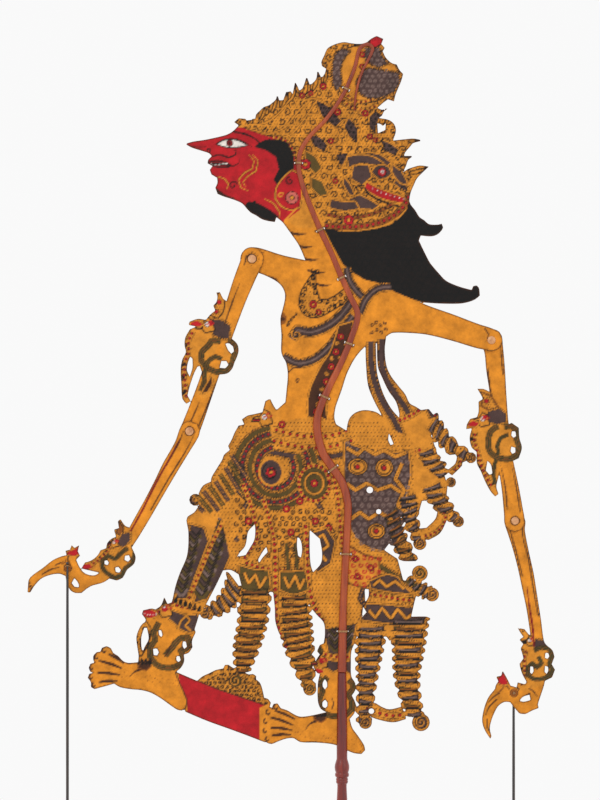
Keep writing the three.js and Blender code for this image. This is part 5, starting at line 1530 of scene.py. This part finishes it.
def hand_thread(palm, side):
    """A knotted cord through the palm that ends in a loop round the neck of the hand rod."""
    x, z = palm
    far = 8.6 - 1.9 * math.cos(math.pi / 9)
    twist = []
    for strand in (0, math.pi):
        path = []
        for k in range(25):
            u = k / 24
            angle = strand + 9 * u
            path.append((x + 0.2 * math.cos(angle), side * (2.2 + (far - 2.2) * u),
                z + 0.2 * math.sin(angle)))
        twist.append(thread(path, 0.27))
    loops = []
    for turn, reach in ((-0.22, 1.75), (0.22, 1.85)):
        ring = []
        for k in range(28):
            angle = 2 * math.pi * k / 28
            a, b = reach * math.cos(angle), reach * math.sin(angle)
            ring.append((x + a, side * (8.6 + b * math.cos(math.pi / 9)),
                z + 0.65 + b * math.sin(math.pi / 9) + turn))
        loops.append(thread(ring, 0.27, True))
    knot = []
    for k in range(40):
        angle = 2 * math.pi * k / 40
        reach = 0.8 + 0.3 * math.cos(3 * angle)
        knot.append((x + reach * math.cos(2 * angle), side * (2.2 + 0.28 * math.sin(3 * angle)),
            z + reach * math.sin(2 * angle)))
    return merged(*twist, *loops, thread(knot, 0.3, True))


def hand_rod(palm, side):
    top = 4.1
    low = top - 295
    profile = [(0.15, low), (0.55, low + 0.25), (0.85, low + 1.4), (1.05, low + 3), (1.12, low + 8),
        (1.25, low + 30),
               (1.3, low + 60), (1.32, -150), (1.3, -100), (1.28, -60), (1.22, -40), (1.15,
                   -20), (1.1, -8), (1.12, -4.2), (1.0, -3.4),
               (0.72, -2.2), (0.68, -1.4), (0.68, 1.4), (0.8, 1.8), (1.25, 2.1), (1.5, 2.6), (1.5,
                   3.1), (1.2, 3.7), (0.6, 4.05), (0, top)]
    return turning(profile, (palm[0], side * 8.6, palm[1] + 0.65), "z", 20)


# ---- Finishes of the rods, rivets and threads
RED_HORN = material("red_horn", [(70, 10, 4), (112, 22, 8), (146, 40, 12)], 0.36, 26, 0, 0.12, 500,
    0.3, (6, 6, 0.35))
NECK_HORN = material("amber_horn", [(104, 28, 4), (146, 52, 8), (176, 76, 16)], 0.42, 26, 0, 0.12,
    500, 0.15, (5, 5, 0.5))
DARK_HORN = material("dark_horn", [(14, 10, 8), (34, 22, 16), (66, 42, 26)], 0.25, 40, 0, 0.1, 600,
    0.5, (6, 6, 0.3))
BONE = material("bone", [(172, 112, 66), (206, 146, 96), (226, 176, 128)], 0.4, 180, 0, 0.2, 900,
    0.3)
COTTON = material("cotton_thread", [(120, 84, 52), (160, 118, 76), (190, 150, 104)], 0.85, 900, 0,
    0.7, 2600)
JOINTS = {
    "left_shoulder": (-81, 694), "left_elbow": (-137.1, 539), "left_palm": (-246.5, 417),
    "right_shoulder": (134.5, 620.8), "right_elbow": (155.9, 458.2), "right_palm": (155, 303),
}


def stand_in(piece, node, body):
    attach(piece, body)
    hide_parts(node)


def hardware(node, geometry_parts, finish, body):
    stand_in(finish_piece(node + "_made", *geometry_parts, finish), node, body)


for paint_sheet, node, body in (
    (paint_body, "body_leather", "figure"),
    (paint_left_upper, "left_upper_arm", "left_upper_arm"),
    (paint_left_fore, "left_forearm", "left_forearm"),
    (paint_right_upper, "right_upper_arm", "right_upper_arm"),
    (paint_right_fore, "right_forearm", "right_forearm"),
):
    stand_in(paint_sheet(), node, body)

hardware("rod_strip_front", rod_half(-1), NECK_HORN, "figure")
hardware("rod_strip_back", rod_half(1), NECK_HORN, "figure")
hardware("rod_grip", grip(), RED_HORN, "figure")
for part in ("crown", "brow", "nape", "collar", "chest", "waist", "belt", "apron", "shin"):
    hardware("tie_" + part, tie("tie_" + part), COTTON, "figure")
hardware("left_shoulder_rivet", rivet(JOINTS["left_shoulder"], [(3.7, -3.3, -4.2), (2.5, 2.1,
    3.0)]), BONE, "figure")
hardware("left_shoulder_washer", washer(JOINTS["left_shoulder"], 1.2), BONE, "figure")
hardware("right_shoulder_rivet", rivet(JOINTS["right_shoulder"], [(3.7, -1.2, -2.1), (2.5, 4.2,
    5.1)]), BONE, "figure")
hardware("right_shoulder_washer", washer(JOINTS["right_shoulder"], 3.3), BONE, "figure")
hardware("left_elbow_rivet", rivet(JOINTS["left_elbow"], [(3.7, -5.4, -6.3), (3.7, -1.95, -1.25)]),
    BONE, "left_upper_arm")
hardware("right_elbow_rivet", rivet(JOINTS["right_elbow"], [(3.7, 1.95, 1.25), (3.7, 5.4, 6.3)]),
    BONE, "right_upper_arm")
for hand, side in (("left", -1), ("right", 1)):
    palm = JOINTS[hand + "_palm"]
    hardware(hand + "_hand_thread", hand_thread(palm, side), COTTON, hand + "_hand_thread")
    hardware(hand + "_hand_rod", hand_rod(palm, side), DARK_HORN, hand + "_hand_rod")


# ---- Studio: a pale round floor, white surroundings, soft lamps and the camera
def studio_floor(radius=1.2, sides=96):
    rim = [(radius * math.cos(2 * math.pi * k / sides), radius * math.sin(2 * math.pi * k / sides),
        0) for k in range(sides)]
    mesh = bpy.data.meshes.new("studio_floor")
    mesh.from_pydata(rim, [], [tuple(range(sides))])
    paper = bpy.data.materials.new("studio_paper")
    paper.use_nodes = True
    shader = paper.node_tree.nodes["Principled BSDF"]
    shader.inputs["Base Color"].default_value = (0.8, 0.8, 0.8, 1)
    shader.inputs["Roughness"].default_value = 0.9
    mesh.materials.append(paper)
    floor = bpy.data.objects.new("studio_floor", mesh)
    bpy.context.collection.objects.link(floor)


def lamp(name, place, target, size, power):
    data = bpy.data.lights.new(name, "AREA")
    data.shape = "DISK"
    data.size = size
    data.energy = power
    made = bpy.data.objects.new(name, data)
    made.location = place
    made.rotation_euler = (Vector(target) - Vector(place)).to_track_quat("-Z", "Y").to_euler()
    bpy.context.collection.objects.link(made)


studio_floor()
CENTRE = (-0.04, 0, 0.5)
lamp("key", (-1.6, -2.6, 2.2), CENTRE, 1.6, 15)
lamp("fill", (2.2, -2.2, 1.2), CENTRE, 2.0, 6)
lamp("top", (0.2, 0.3, 2.8), CENTRE, 1.8, 5)
lamp("behind", (-1.5, 1.1, 1.6), CENTRE, 1.4, 12)
world = bpy.data.worlds.new("studio")
world.use_nodes = True
world.node_tree.nodes["Background"].inputs["Color"].default_value = (1, 1, 1, 1)
world.node_tree.nodes["Background"].inputs["Strength"].default_value = 0.95
bpy.context.scene.world = world
bpy.context.scene.view_settings.view_transform = "Standard"

lens = bpy.data.cameras.new("front_camera")
lens.sensor_fit = "VERTICAL"
lens.sensor_height = 36
lens.lens = 150
camera = bpy.data.objects.new("front_camera", lens)
camera.location = (-0.0378, -3.0, 0.567)
camera.rotation_euler = (math.pi / 2, 0, 0)
bpy.context.collection.objects.link(camera)
bpy.context.scene.camera = camera
